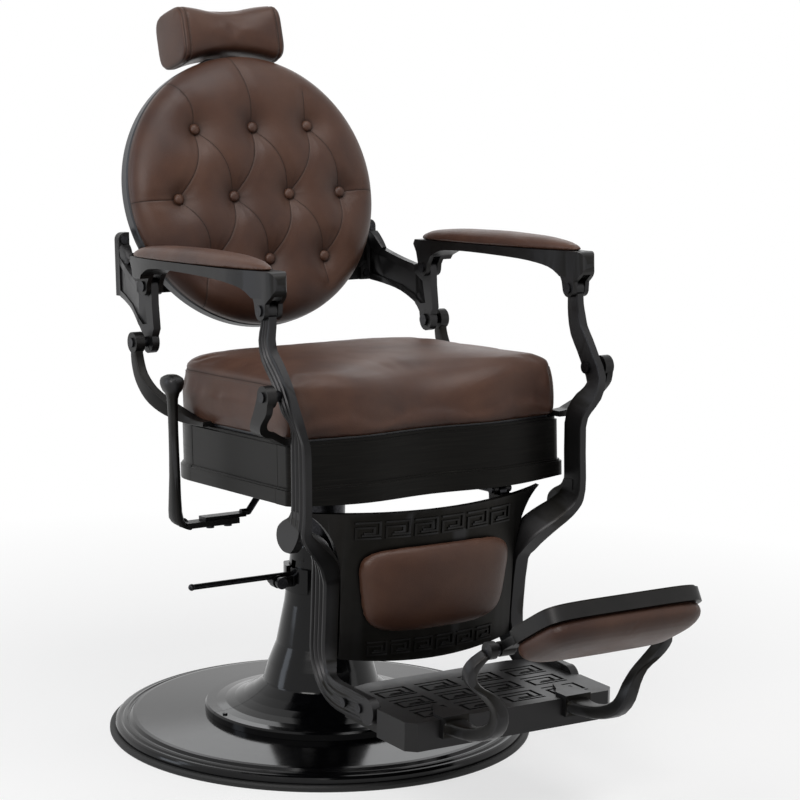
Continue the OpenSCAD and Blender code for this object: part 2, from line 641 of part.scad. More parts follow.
// Greek key: one square spiral meander, drawn in a unit of 5 by 5 lines
module key(w, h) {
  b = 0.1;
  for (bar = [
    [0, 0, 1, b], [0, 0, b, 0.72], [0, 0.62, 0.78, b], [0.68, 0.3, b, 0.42], [0.34, 0.3, 0.44, b],
    [0, 0.9, 1, b], [0.9, 0.18, b, 0.82], [0.26, 0.18, 0.74, b]
  ]) translate([bar[0] * w, bar[1] * h]) square([bar[2] * w, bar[3] * h]);
}
module key_row(count, w, h, gap) for (i = [0:count - 1])
  translate([(i - count / 2) * (w + gap) + gap / 2, 0]) key(w, h);

// The panel leans with the legs: its own frame has Z up the panel and -Y out of its face
panel_y_top = -337;
panel_y_low = -308;
panel_lean = atan((panel_y_low - panel_y_top) / (panel_top - panel_low));
panel_h = (panel_top - panel_low) / cos(panel_lean);
module paneled() translate([0, panel_y_low, panel_low]) rotate([panel_lean, 0, 0]) children();
module face_y(y0, t) translate([0, y0 + t, 0]) rotate([90, 0, 0]) linear_extrude(t) children();
// Outline with a slightly hollow head and a bellied foot; its flanks follow the legs' inner faces
leg_rows = curve(leg_path, 2);
bow_half = 165;
bow_r = (bow_half * bow_half + panel_bow * panel_bow) / (2 * panel_bow);
function bow_y(x) = bow_r - panel_bow - sqrt(bow_r * bow_r - x * x);
// Rows of height and inner face of a leg, where the panel's face of that depth meets it
function leg_inner(depth) = [for (i = [12:42])
  let (
    row = leg_rows[i],
    run = leg_rows[i + 1] - leg_rows[i - 1],
    inner = row[0] - row[3] / 2 - 0.4,
    face = mix(panel_y_low, panel_y_top, (row[2] - panel_low) / (panel_top - panel_low)) + bow_y(inner) + depth
  ) [row[2] - (face - row[1]) * run[1] / run[2], inner]
];
inner_rows = [leg_inner(-4), leg_inner(panel_t + 2)];
function flank(z) = min(concat(
  [mix(panel_low_half, panel_top_half, min(1, (z - panel_low) / 150))],
  [for (rows = inner_rows) for (d = [-6, 0, 6]) lookup(z + d, rows)]
));
flank_steps = [for (k = [0:40]) k / 40];
// Bowed slab between r0 behind the panel's face and r1 in front of it
module bow_shell(r0, r1) translate([0, bow_r - panel_bow, -20]) difference() {
  cylinder(r = bow_r + r1, h = panel_h + 40, $fn = 360);
  translate([0, 0, -1]) cylinder(r = bow_r - r0, h = panel_h + 42, $fn = 360);
}
module panel_outline() polygon(concat(
  [for (k = [-7:7]) [k / 8 * panel_low_half, -11 * (1 - k * k / 64)]],
  [for (u = flank_steps) [flank(mix(panel_low, panel_top, u)), u * panel_h]],
  [for (k = [7:-1:-7]) [k / 8 * panel_top_half, panel_h - 5 * (1 - k * k / 64)]],
  [for (u = flank_steps) [-flank(mix(panel_top, panel_low, u)), (1 - u) * panel_h]]
));
pad_w = 142;
pad_low = 42;
pad_high = 176;
module pad_outline(in) {
  w0 = pad_w - 20 - in;
  w1 = pad_w - in;
  hull() for (s = [-1, 1]) {
    translate([s * (w0 - 22), pad_low + 22 + in]) circle(r = 22, $fn = 32);
    translate([s * (w1 - 22), pad_high - 22 - in]) circle(r = 22, $fn = 32);
  }
}
lug_x = 142;
strut_y1 = -316;
strut_z = 437;
eye_rise = 4.3;
eye_fit = 0.5;
module calf_panel() color(iron) seated() difference() {
  union() {
    paneled() {
      intersection() {
        bow_shell(panel_t, 0);
        face_y(-40, 90) panel_outline();
      }
      intersection() {
        bow_shell(1, key_relief);
        face_y(-40, 90) union() {
          translate([0, panel_h - 44]) key_row(6, 42, 28, 7);
          translate([0, 3]) key_row(6, 33, 23, 7);
        }
      }
      for (s = [-1, 1]) translate([s * (panel_low_half - 10) - 4, panel_t - 8, 6]) cube([8, 16, panel_h - 40]);
    }
    for (s = [-1, 1]) {
      translate([lug_x + s * 11 - 4, strut_y1 - 21, strut_z - 27]) cube([8, 30, 20]);
      at(strut_y1, strut_z) rod_x(lug_x + s * 11 - 4, lug_x + s * 11 + 4, 8.5);
    }
  }
  at(strut_y1, strut_z) rod_x(lug_x - 25, lug_x + 25, 4);
}
// Ring of a square with rounded corners, evenly stepped along its sides
pad_p = 4.8;
function bulged(t) = pow(1 - pow(abs(t), pad_p), 1 / pad_p);
pad_ring = concat(
  [for (k = [-6:6]) [bulged(k * 0.13), k * 0.13]], [for (k = [6:-1:-6]) [k * 0.15, bulged(k * 0.15)]],
  [for (k = [6:-1:-6]) [-bulged(k * 0.13), k * 0.13]], [for (k = [-6:6]) [k * 0.15, -bulged(k * 0.15)]]
);
module calf_pad() color(leather) seated() paneled() {
  mid = (pad_low + pad_high) / 2;
  tall = (pad_high - pad_low) / 2;
  seat_gap = -1.5 * dot;
  // rows of how far the ring is drawn in, its share of the full size and its depth
  skin([for (step = [
      [0, 0.02, seat_gap], [0, 0.2, seat_gap], [0, 0.4, seat_gap], [0, 0.6, seat_gap], [0, 0.8, seat_gap],
      [0, 1, seat_gap],
      [-1, 1, -5], [1, 1, -12], [7, 1, -18], [20, 1, -22], [40, 1, -24.5], [60, 1, -25.5]
    ])
    [for (r = pad_ring)
      let (x = r[0] * (pad_w - 10 - step[0] + 10 * r[1]) * step[1]) [x, bow_y(x) + step[2], mid + r[1] * (tall - step[0]) * step[1]]]
  ]);
}

// Tread: rests between the feet, wider ahead of them, with key grooves in its top
tread_in = foot_x - foot_t2 / 2 - dot / 3;
tread_wide = 187;
tread_rear = 357;
foot_end = 462;
groove = 2.5;
tread_mid = 457;
// The tread is level when the seat leans: its frame turns back about its own middle
module treaded() seated() at(-tread_mid, tread_top) rotate([seat_rake, 0, 0]) at(tread_mid, -tread_top) children();
module tread_plan() polygon([
  [-tread_in, -tread_rear], [-tread_in, -foot_end], [-tread_wide, -foot_end - 6], [-tread_wide, -tread_front + 14],
  [-tread_wide + 14, -tread_front], [tread_wide - 14, -tread_front], [tread_wide, -tread_front + 14],
  [tread_wide, -foot_end - 6], [tread_in, -foot_end], [tread_in, -tread_rear], [130, -tread_rear + 12],
  [-130, -tread_rear + 12]
]);
module tread_plate() color(iron) difference() {
  treaded() difference() {
    translate([0, 0, tread_top - tread_t]) linear_extrude(tread_t) tread_plan();
    translate([0, 0, tread_top - tread_t - 1]) linear_extrude(tread_t - 12) difference() {
      translate([-tread_in + 14, -tread_front + 34]) square([2 * tread_in - 28, tread_front - tread_rear - 58]);
      for (s = [-1, 1]) translate([s * bumper_x, -bumper_y]) circle(r = 22, $fn = 48);
    }
    translate([0, 0, tread_top - groove]) linear_extrude(groove + 1) {
      for (y = [-540, -484, -428]) translate([0, y]) key_row(4, 62, 42, 18);
    }
    for (s = [-1, 1]) translate([s * bumper_x, -bumper_y, tread_top - tread_t - 1])
      cylinder(r = 5, h = 12, $fn = 32);
  }
  seated() for (y = leg_screws) at(y, leg_screw_z) both() rod_x(tread_in - 12, tread_in + 1, 4);
}
bumper_x = 84;
bumper_y = 492;
module tread_bumpers() color(rubber) treaded() for (s = [-1, 1]) translate([s * bumper_x, -bumper_y, 0]) {
  translate([0, 0, tread_top - tread_t - 12]) cylinder(r1 = 19, r2 = 21, h = 12, $fn = 64);
  translate([0, 0, tread_top - tread_t - 1]) cylinder(r = 5 - pin_fit, h = 9, $fn = 32);
}
module leg_bolts() color(steel) seated() both() for (y = leg_screws) at(y, leg_screw_z) {
  rod_x(foot_x - 17, foot_x + 7.1, 4 - pin_fit, 32);
  rod_x(foot_x + 7.1, foot_x + 10, 7.5, 32);
}

// S-shaped footrest brackets: flat tongue on the tread, a sweep forward, up and out, then in to an eye
tongue = 46;
s_path = [
  [bracket_x, -tread_front - 4, 138, tongue, 22], [bracket_x, -tread_front - 20, 136.5, 34, 21],
  [bracket_x + 1, -tread_front - 50, 137, 26, 21], [bracket_x + 1, -641, 143, 24, 22],
  [bracket_x + 1, -670, 155, 23, 24], [bracket_x + 3, -686, 174, 23, 25], [bracket_x + 9, -690, 194, 22, 25],
  [bracket_x + 24, -688, 212, 21, 24], [bracket_x + 43, -688, 226, 20, 23], [bracket_x + 57, -693, 241, 19, 22],
  [bracket_x + 62, -703, 258, 18, 21], [bracket_x + 55, -711, 272, 17, 20], [flip_x + 4, -flip_y + 3, flip_z - 4, 14, 18]
];
ear_t = 12;
module footrest_bracket() difference() {
  union() {
    skin(swept(curve(s_path, 2), squared(12, 0.5)));
    at(-flip_y, flip_z) rod_x(flip_x - ear_t / 2, flip_x + ear_t / 2, 13);
  }
  at(-flip_y, flip_z) rod_x(flip_x - 20, flip_x + ear_t / 2 + 0.1, 5);
}
module footrest_brackets() color(iron) both() {
  seated() footrest_bracket();
  treaded() {
    translate([bracket_x, 0, tread_top + 0.1]) linear_extrude(5) polygon([
      [-tongue / 2, -tread_front - 8], [tongue / 2, -tread_front - 8], [tongue / 2, -tread_front + 20],
      [12, -tread_front + 34], [0, -tread_front + 60], [-12, -tread_front + 34], [-tongue / 2, -tread_front + 20]
    ]);
    translate([bracket_x - tongue / 2, -tread_front - 8, tread_top - 28]) cube([tongue, 7.9, 30]);
  }
}
lug_in = 113;
module footrest_pins() color(steel) seated() both() at(-flip_y, flip_z) {
  rod_x(lug_in - 1, flip_x + ear_t / 2, 5 - pin_fit);
  rod_x(flip_half + 0.2, flip_x - ear_t / 2 - 0.1, 9);
  rod_x(lug_in - 4, lug_in - 0.2, 8);
}

// Footrest: a tray whose open side carries the pad; lugs at its rear edge turn on the pins
module flipped() translate([0, -flip_y, flip_z]) rotate([-flip_slope, 0, 0]) children();
tray_y0 = -flip_len;
tray_y1 = -14;
tray_z = -2;
function tray_ring(in, z, n) = [for (i = [0:n - 1])
  let (
    a = 360 * (i + 0.5) / n,
    c = sign(cos(a)) * pow(abs(cos(a)), 0.36),
    s = sign(sin(a)) * pow(abs(sin(a)), 0.36)
  ) [c * (flip_half - in), (tray_y0 + tray_y1) / 2 + s * ((tray_y1 - tray_y0) / 2 - in), z]];
module rounded_slab(in, z, h) translate([0, 0, z]) linear_extrude(h)
  polygon([for (p = tray_ring(in, 0, 64)) [p[0], p[1]]]);
module footrest_tray() color(black) seated() flipped() difference() {
  union() {
    rounded_slab(0, tray_z - 4, tray_d - 3);
    rounded_slab(3, tray_z - 4, tray_d);
    both() {
      rod_x(lug_in, flip_half - 1, 11);
      translate([lug_in, tray_y1 - 30, tray_z - 3]) cube([flip_half - 1 - lug_in, 30 - tray_y1, 13]);
    }
  }
  rounded_slab(8, tray_z - 5, 12);
  both() rod_x(lug_in - 1, flip_x, 5);
}
module footrest_pad() color(leather) seated() flipped() skin([
  tray_ring(52, tray_z - 40, 40), tray_ring(34, tray_z - 38, 40), tray_ring(16, tray_z - 33, 40),
  tray_ring(6, tray_z - 26, 40), tray_ring(3, tray_z - 17, 40), tray_ring(4, tray_z - 9, 40),
  tray_ring(9, tray_z - 4.4, 40), tray_ring(9, tray_z + 6.7, 40)
]);

// ---------- arms ----------
ear = 8;
// Beam: a flat top under the pad, a hollow sweep below, a round nose and a clevis at each end
beam_top = arm_top;
module beam_side() polygon(concat(
  [[106, beam_top]],
  curve([[-362, beam_top], [-371, beam_top - 4], [-376, beam_top - 14], [-374, beam_top - 28], [-364, beam_top - 40]], 3),
  [[-p2_y - 16, p2_z + 10]],
  [for (a = [200:20:340]) [-p2_y + 15 * cos(a), p2_z + 15 * sin(a)]],
  [[-p2_y + 17, p2_z + 10]],
  curve([[-314, 770], [-290, 783], [-240, 791], [-155, 795], [-40, 797], [20, 794], [52, 783]], 3),
  [[p3_y - 16, p3_z + 6]],
  [for (a = [200:20:340]) [p3_y + 15 * cos(a), p3_z + 15 * sin(a)]],
  [[p3_y + 17, p3_z + 10], [p3_y + 22, p3_z + 26], [112, beam_top - 8]]
));
// Rows along the beam: distance behind the ram, middle and half the width
beam_rows = curve([
  [-377, leg_x, 4], [-374, leg_x, 9.5], [-368, leg_x, 13.2], [-358, leg_x, 15.3], [-340, leg_x, 15.6],
  [-318, leg_x + 0.5, 17.5], [-296, leg_x + 1, 21.5], [-266, leg_x + 1.5, 26], [-225, leg_x + 1, 27.5],
  [-60, leg_x - 1, 27], [20, leg_x - 3, 25], [75, leg_x - 6, 21.5], [112, leg_x - 8, 16]
], 2);
module beam_plan() polygon(concat(
  [for (row = beam_rows) [row[1] + row[2], row[0]]],
  [for (i = [len(beam_rows) - 1:-1:0]) [beam_rows[i][1] - beam_rows[i][2], beam_rows[i][0]]]
));
ear_gap_front = leg_t / 2 + cheek;
ear_gap_rear = web_t / 2 + cheek;
module arm() difference() {
  intersection() {
    plate_x(leg_x - 60, 120) beam_side();
    translate([0, 0, p2_z - 40]) linear_extrude(120) beam_plan();
  }
  translate([leg_x - ear_gap_front, -p2_y - 60, p2_z - 40]) cube([2 * ear_gap_front, 90, 62]);
  translate([web_x - ear_gap_rear, p3_y - 34, p3_z - 40]) cube([2 * ear_gap_rear, 80, 60]);
  for (s = [-1, 1]) {
    translate([leg_x + s * (ear_gap_front + ear + 20) - 20, -p2_y - 70, p2_z - 60]) cube([40, 120, 78]);
    translate([web_x + s * (ear_gap_rear + ear + 20) - 20, p3_y - 60, p3_z - 60]) cube([40, 120, 74]);
  }
  at(-p2_y, p2_z) rod_x(leg_x - 40, leg_x + 40, pin_r);
  at(p3_y, p3_z) rod_x(web_x - 40, web_x + 40, pin_r);
}
module arm_right() color(black) seated() arm();
module arm_left() color(black) seated() left() arm();

// Pad: a long round point at the front, full in the middle, blunt at the rear
pad_front = -p2_y - 8;
pad_rear = p3_y + 22;
pad_plan = [[0, 0.1], [0.01, 0.3], [0.04, 0.47], [0.12, 0.7], [0.28, 0.92], [0.5, 1], [0.75, 0.95], [0.92, 0.78],
  [0.975, 0.6], [0.993, 0.42], [1, 0.16]];
pad_rise = [[0, 0.12], [0.01, 0.3], [0.05, 0.55], [0.2, 0.86], [0.45, 1], [0.75, 0.95], [0.92, 0.74], [0.985, 0.45], [1, 0.14]];
function pad_x(u) = mix(leg_x + 2, leg_x - 3, u);
module arm_pad() {
  n = 22;
  skin([for (i = [n:-1:0])
    let (
      u = 0.5 - 0.5 * cos(180 * i / n),
      w = pad_half * lookup(u, pad_plan),
      tall = pad_crown * lookup(u, pad_rise)
    ) [for (s = [
        [-0.93, 0], [0.93, 0], [1, 0.2], [0.97, 0.45], [0.8, 0.74], [0.5, 0.93], [0, 1],
        [-0.5, 0.93], [-0.8, 0.74], [-0.97, 0.45], [-1, 0.2]
      ]) [pad_x(u) + s[0] * w, mix(pad_front, pad_rear, u), arm_top + dot + s[1] * tall]]
  ]);
}
module arm_pad_right() color(leather) seated() arm_pad();
module arm_pad_left() color(leather) seated() left() arm_pad();
// A pin right through a clevis, with a low head on each cheek
module clevis_pin(x, gap) {
  out = gap + ear;
  rod_x(x - out, x + out, pin_r - pin_fit);
  for (s = [-1, 1]) rod_x(s > 0 ? x + out + 0.05 : x - out - 2.8, s > 0 ? x + out + 2.8 : x - out - 0.05, pin_r + 2.5);
  rod_x(x - out - 0.5, x + out + 0.5, pin_r - 2);
}
module arm_pins() {
  at(-p2_y, p2_z) clevis_pin(leg_x, ear_gap_front);
  at(p3_y, p3_z) clevis_pin(web_x, ear_gap_rear);
}
module arm_pins_right() color(iron) seated() arm_pins();
module arm_pins_left() color(iron) seated() left() arm_pins();

// ---------- back ----------
// Bracket web: pivot boss, arm tongue, then a web that toes in to a pad behind the shell
plate_low = back_z - back_r + 67;
plate_h = 70;
toe_y = 118;
foot_y = 228;
foot_pad = 8;
pad_in = back_r - 2;
pad_out = back_r + 18;
ear_top = plate_low + 106;
web_out = web_x + web_t / 2;
toe = atan((web_out - pad_out) / (foot_y - toe_y));
// Screws through the pad and the crossplate, each [from the centre plane, height]
pad_bolts = [[pad_out - 9, ear_top - 12], [pad_in - 2, plate_low + 11]];
module web_side() polygon(concat(
  [for (a = [150:20:330]) [p4_y - 2 + 19 * cos(a), p4_z + 19 * sin(a)]],
  curve([[104, 684], [118, 698], [156, 718], [200, 729], [240, plate_low]], 3),
  curve([[240, plate_low + 71], [213, plate_low + 59], [163, 777], [118, 765]], 3),
  [for (a = [40:20:190]) [p3_y + 14 * cos(a), p3_z + 14 * sin(a)]],
  [[p3_y - 14, p3_z - 30], [p4_y - 26, p4_z + 22]]
));
module web_panel() polygon([
  [84, 700], [92, 738], [120, 752], [165, 765], [212, 781], [232, 790], [232, plate_low + 10], [200, 739], [156, 728],
  [122, 712], [100, 698]
]);
module web(y0, y1) intersection() {
  difference() {
    plate_x(web_x - web_t / 2, web_t) web_side();
    for (x = [web_x - web_t / 2 - 1, web_out - 3]) plate_x(x, 4) web_panel();
  }
  translate([web_x - web_t, y0, 600]) cube([2 * web_t, y1 - y0, 260]);
}
leaf_path = [
  [pad_out - 4, 203, plate_low + 50, 11, 26], [pad_out - 6, 210, plate_low + 60, 14, 26],
  [pad_out - 8, 218, plate_low + 72, 16, 22], [pad_out - 9, 225, plate_low + 82, 18, 13]
];
// Face of a pad with a rounded upper corner; low is the inner end of its foot
module ear_face(low) polygon(concat(
  [[low, plate_low], [pad_out, plate_low]],
  [for (a = [0:15:90]) [pad_out - 12 + 12 * cos(a), ear_top - 12 + 12 * sin(a)]],
  [[pad_in, ear_top], [pad_in, plate_low + 34], [low, plate_low + 22]]
));
module back_bracket() difference() {
  union() {
    web(0, toe_y);
    intersection() {
      translate([web_out, toe_y, 0]) rotate([0, 0, toe]) translate([-web_out, -toe_y, 0]) web(toe_y, 260);
      translate([0, 0, 600]) cube([300, foot_y + 1, 260]);
    }
    face_y(foot_y, foot_pad) ear_face(pad_in - 12);
    skin(swept(curve(leaf_path, 3), strap));
  }
  at(p4_y, p4_z) rod_x(web_x - 20, web_x + 20, pin_r);
  at(p3_y, p3_z) rod_x(web_x - 20, web_x + 20, pin_r + open_fit);
  for (b = pad_bolts) translate([b[0], 0, b[1]]) along_y(foot_y - 10, foot_y + 20, 4);
}
module back_brackets() color(iron) seated() both() back_bracket();
cross_y0 = foot_y + foot_pad + 0.05;
cross_t = 8;
module back_crossplate() color(iron) seated() difference() {
  union() {
    face_y(cross_y0, cross_t) {
      translate([-pad_out + 1, plate_low]) square([2 * pad_out - 2, plate_h]);
      for (s = [-1, 1]) scale([s, 1]) ear_face(pad_in - 12);
    }
    both() translate([74, 200, plate_low + 5]) cube([30, cross_y0 - 199, plate_h - 10]);
  }
  for (b = pad_bolts) both() translate([b[0], 0, b[1]]) along_y(foot_y - 10, foot_y + 30, 4);
  translate([0, back_y, back_z]) rotate([-back_lean, 0, 0]) shell_solid(0.05);
}

pan = 14;
module shell_solid(grow) rotate([-90, 0, 0]) rotate_extrude($fn = 128) polygon(concat(
  [[0, 3 - grow], [back_r - 8, 3 - grow], [back_r - 2, 4], [back_r + grow, 7], [back_r + grow, rim_w - 2], [back_r - 3, rim_w + grow]],
  [for (k = [1:8]) let (u = k / 8) [(back_r - 6) * (1 - u), rim_w + grow + (pan - 6) * sqrt(max(0, 1 - (1 - u) * (1 - u)))]]
));
module back_shell() color(black) backed() shell_solid(0);
module bracket_bolts() color(steel) seated() both() for (b = pad_bolts) translate([b[0], 0, b[1]]) {
  along_y(foot_y - 3, cross_y0 + cross_t + 3, 4 - pin_fit);
  along_y(foot_y - 4, foot_y - 0.05, 6.5);
  along_y(cross_y0 + cross_t + 0.05, cross_y0 + cross_t + 4, 6.5);
}

// Tufted cushion: buttons on a staggered grid, folds from button to button and out to the rim
row_mid = -15;
button_rows = [
  [row_pitch_up, [-1, 0, 1]],
  [0, [-1.43, -0.49, 0.49, 1.43]],
  [-row_pitch_down, [-1, 0, 1]]
];
buttons = [for (row = button_rows) for (k = row[1]) [k * button_pitch, row_mid + row[0]]];
// Folds run between neighbours of two rows, and from the outer buttons to the rim
folds = concat(
  [for (a = buttons) for (b = buttons) if (a[1] > b[1] + 1 && norm(a - b) < row_pitch_up * 1.2) [a, b]],
  [for (k = [-1, 0, 1]) for (rise = [row_pitch_up, -row_pitch_down])
    [[k * button_pitch, row_mid + rise], [k * button_pitch * 1.25, row_mid + rise * 2.4]]],
  [for (s = [-1, 1]) [[s * 1.43 * button_pitch, row_mid], [s * back_r * 1.1, row_mid + 4]]]
);
function fold_gap(p, f) = let (d = f[1] - f[0], t = max(0, min(1, (p - f[0]) * d / (d * d)))) norm(p - f[0] - d * t);
function crown_at(r) = back_crown * pow(max(0, 1 - pow(r / back_r, 4)), 0.5);
function tuft_at(p) = let (
    near = min([for (b = buttons) norm(p - b)]),
    fold = min([for (f = folds) fold_gap(p, f)])
  ) 17 * exp(-pow(near / 21, 2)) + 5 * exp(-pow(fold / 8, 2));
module back_cushion() color(leather) backed() {
  spokes = 48;
  radii = [232.6, 229, 221, 210, 198, 185, 172, 159, 146, 133, 120, 107, 94, 81, 68, 54, 40, 26, 12];
  flat = function (r, z) [for (i = [0:spokes - 1]) [r * cos(360 * i / spokes), z, r * sin(360 * i / spokes)]];
  puffed = [for (r = radii) [for (i = [0:spokes - 1])
    let (p = [r * cos(360 * i / spokes), r * sin(360 * i / spokes)])
    [p[0], -max(2, crown_at(r) - tuft_at(p) * min(1, (back_r - r) / 24)), p[1]]]];
  skin(concat([flat(back_r - 12, 2.7), flat(back_r - 5, 1.8), flat(back_r - 0.6, -1)], puffed));
}
module back_buttons() color(leather) backed() for (b = buttons)
  translate([b[0], -(crown_at(norm(b)) - tuft_at(b)) - 0.3, b[1]]) rotate([90, 0, 0]) {
    cylinder(r = button_r, h = 3, $fn = 32);
    translate([0, 0, 3]) intersection() {
      translate([0, 0, -9.5]) sphere(r = 13.1, $fn = 48);
      cylinder(r = button_r - 0.2, h = 6, $fn = 32);
    }
  }

// ---------- headrest ----------
post_y = rim_w + 30;
post_w = 30;
post_t = 8;
hinge_z = back_r - 6;
hinge_y = post_y + post_t / 2;
socket_z = 118;
post_low = 38;
module headrest_socket() color(black) backed() difference() {
  union() {
    translate([-32, rim_w + 4, socket_z]) cube([64, post_y + post_t + 3 - rim_w, 40]);
    translate([0, post_y + post_t + 12, socket_z + 20]) rotate([90, 0, 0]) cylinder(r = 13, h = 12, $fn = 48);
  }
  shell_solid(0.05);
  translate([-post_w / 2 - 0.05, post_y - 0.05, socket_z - 1]) cube([post_w + 0.1, post_t + 0.1, 60]);
  translate([0, post_y + 40, socket_z + 20]) rotate([90, 0, 0]) cylinder(r = 5 + pin_fit, h = 36, $fn = 48);
}
module headrest_knob() color(rubber) backed() translate([0, 0, socket_z + 20]) rotate([-90, 0, 0]) {
  translate([0, 0, post_y + post_t + 0.2]) cylinder(r = 5, h = 20, $fn = 48);
  translate([0, 0, post_y + post_t + 12.3]) difference() {
    cylinder(r = 21, h = 16, $fn = 96);
    for (i = [0:7]) rotate([0, 0, 45 * i]) translate([25, 0, -1]) cylinder(r = 7, h = 20, $fn = 32);
  }
}
module headrest_post() color(steel) backed() {
  difference() {
    union() {
      translate([-post_w / 2, post_y, post_low]) cube([post_w, post_t, hinge_z - post_low]);
      at(hinge_y, hinge_z) rod_x(-post_w / 2, post_w / 2, 8);
    }
    at(hinge_y, hinge_z) rod_x(-20, 20, 5);
  }
}
arch_r = back_r + 7;
saddle_half = 34;
pad_base = sqrt(arch_r * arch_r - saddle_half * saddle_half) + 1;
module headrest_yoke() color(black) backed() difference() {
  union() {
    for (s = [-1, 1]) {
      at(hinge_y, hinge_z) rod_x(s > 0 ? post_w / 2 + 0.3 : -post_w / 2 - 6.3, s > 0 ? post_w / 2 + 6.3 : -post_w / 2 - 0.3, 8);
      translate([s > 0 ? post_w / 2 + 0.3 : -post_w / 2 - 6.3, hinge_y - 8, hinge_z]) cube([6, 16, pad_base - hinge_z]);
    }
    translate([-saddle_half, hinge_y - 24, pad_base - 3]) cube([2 * saddle_half, 44, 3]);
  }
  at(hinge_y, hinge_z) rod_x(-40, 40, 5);
}
module headrest_pin() color(steel) backed() at(hinge_y, hinge_z) {
  rod_x(-post_w / 2 - 6.3, post_w / 2 + 6.3, 5 - pin_fit);
  for (s = [-1, 1]) rod_x(s > 0 ? post_w / 2 + 6.35 : -post_w / 2 - 9, s > 0 ? post_w / 2 + 9 : -post_w / 2 - 6.35, 7);
  rod_x(-post_w / 2 - 7, post_w / 2 + 7, 3);
}
headrest_low = back_r - 17;
headrest_top = headrest_low + headrest_h;
headrest_face = -17;
module headrest_pad() color(leather) backed() {
  section = squared(28, 0.42);
  n = 14;
  skin([for (i = [-n / 2 - 1:n / 2 + 1])
    let (
      edge = abs(i) > n / 2,
      x = sign(i) * (edge ? headrest_half : headrest_half - 3) * (edge ? 1 : abs(i) / (n / 2)),
      low = max(sqrt(arch_r * arch_r - min(x * x, 85 * 85)) + 1 + dot, headrest_low) + (edge ? 4 : 0),
      high = headrest_top - (edge ? 4 : 0) - 6 * pow(cos(90 * x / headrest_half), 2),
      deep = headrest_d / 2 - (edge ? 4 : 0)
    ) [for (s = section) [x, headrest_face + headrest_d / 2 + s[0] * deep, (low + high) / 2 + s[1] * (high - low) / 2]]
  ]);
}

// ---------- recline lock strut ----------
barrel_r = 13;
barrel_y = [-90, 60];
rod_z = strut_z - eye_rise;
rod_end = 46;
eye_r = 11.4;
module along_y(y0, y1, r, n = fine) translate([0, y0, 0]) rotate([-90, 0, 0]) cylinder(r = r, h = y1 - y0, $fn = n);
// The barrel hangs in a block under the rear cross bar
module strut_barrel() color(black) seated() translate([lug_x, 0, rod_z]) difference() {
  union() {
    along_y(barrel_y[0], barrel_y[1], barrel_r);
    translate([-11, cross_y[1] - 12, 0]) cube([22, 24, bracket_z - rod_z - 0.1]);
  }
  along_y(barrel_y[0] - 1, rod_end + 8, 5 + pin_fit);
}
// The rod's flat eye is slotted: the panel's pin rises and falls in it as the panel swings
module strut_rod() color(steel) seated() translate([lug_x, 0, rod_z]) difference() {
  union() {
    along_y(strut_y1 + 8, rod_end, 5);
    at(strut_y1, 0) rod_x(-6.5, 6.5, eye_r);
  }
  for (s = [-1, 1]) at(strut_y1, s * eye_rise) rod_x(-20, 20, 4 + eye_fit);
  translate([-20, strut_y1 - 4 - eye_fit, -eye_rise]) cube([40, 8 + 2 * eye_fit, 2 * eye_rise]);
}
module strut_pins() color(steel) seated() at(strut_y1, strut_z) {
  rod_x(lug_x - 16, lug_x + 16, 4 - pin_fit);
  for (s = [-1, 1]) at(0, 0) rod_x(lug_x + s * 17 - 1.9, lug_x + s * 17 + 1.9, 6.5);
  rod_x(lug_x - 17, lug_x + 17, 3);
}

base_plate();
rubber_ring();
base_cover();
skirt_front();
skirt_rear();
skirt_screws();
column_cover();
pump_cylinder();
gland_ring();
lever_yoke();
pump_lever();
lever_pin();
ram();
swivel_head();
cross_bracket();
front_rail();
side_rail_left();
side_rail_right();
rear_rail();
seat_board();
seat_cushion();
front_pivot_arms();
rear_pivot_arms();
seat_pivot_pins();
recline_lever();
recline_crank();
lever_bolts();
lever_bearing();
leg_left();
leg_right();
calf_panel();
calf_pad();
tread_plate();
tread_bumpers();
leg_bolts();
footrest_brackets();
footrest_pins();
footrest_tray();
footrest_pad();
arm_left();
arm_pad_left();
arm_pins_left();
arm_right();
arm_pad_right();
arm_pins_right();
back_brackets();
back_crossplate();
back_shell();
back_cushion();
back_buttons();
bracket_bolts();
headrest_socket();
headrest_knob();
headrest_post();
headrest_yoke();
headrest_pin();
headrest_pad();
strut_barrel();
strut_rod();
strut_pins();
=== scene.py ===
import json
import math
import bmesh
import bpy
import numpy as np
from mathutils import Matrix, Vector
from mathutils.bvhtree import BVHTree


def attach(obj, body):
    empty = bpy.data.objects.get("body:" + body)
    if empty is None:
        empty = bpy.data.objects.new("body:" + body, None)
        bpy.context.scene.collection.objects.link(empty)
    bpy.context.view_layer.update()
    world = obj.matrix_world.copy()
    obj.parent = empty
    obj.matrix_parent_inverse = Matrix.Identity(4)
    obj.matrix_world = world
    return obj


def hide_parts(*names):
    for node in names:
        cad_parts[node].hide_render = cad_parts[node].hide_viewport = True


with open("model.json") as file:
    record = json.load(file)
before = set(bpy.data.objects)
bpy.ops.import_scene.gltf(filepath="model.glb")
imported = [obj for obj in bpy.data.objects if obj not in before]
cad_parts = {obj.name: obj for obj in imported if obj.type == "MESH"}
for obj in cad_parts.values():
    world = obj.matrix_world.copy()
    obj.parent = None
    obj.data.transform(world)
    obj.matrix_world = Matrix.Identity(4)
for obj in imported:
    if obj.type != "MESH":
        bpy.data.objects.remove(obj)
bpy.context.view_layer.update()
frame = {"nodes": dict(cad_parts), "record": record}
cadNodes = frame["nodes"]
scene = bpy.context.scene
print("frame loaded:", len(cadNodes), "nodes")

# camera first: it stands above the armrests, off the sitter's right, and looks slightly down
cameraSetup = {"place": (-2.15406, -3.67381, 1.32929), "azimuth": -32.11, "elevation": 10.21, "roll": 0.76,
               "lens": 117.19}


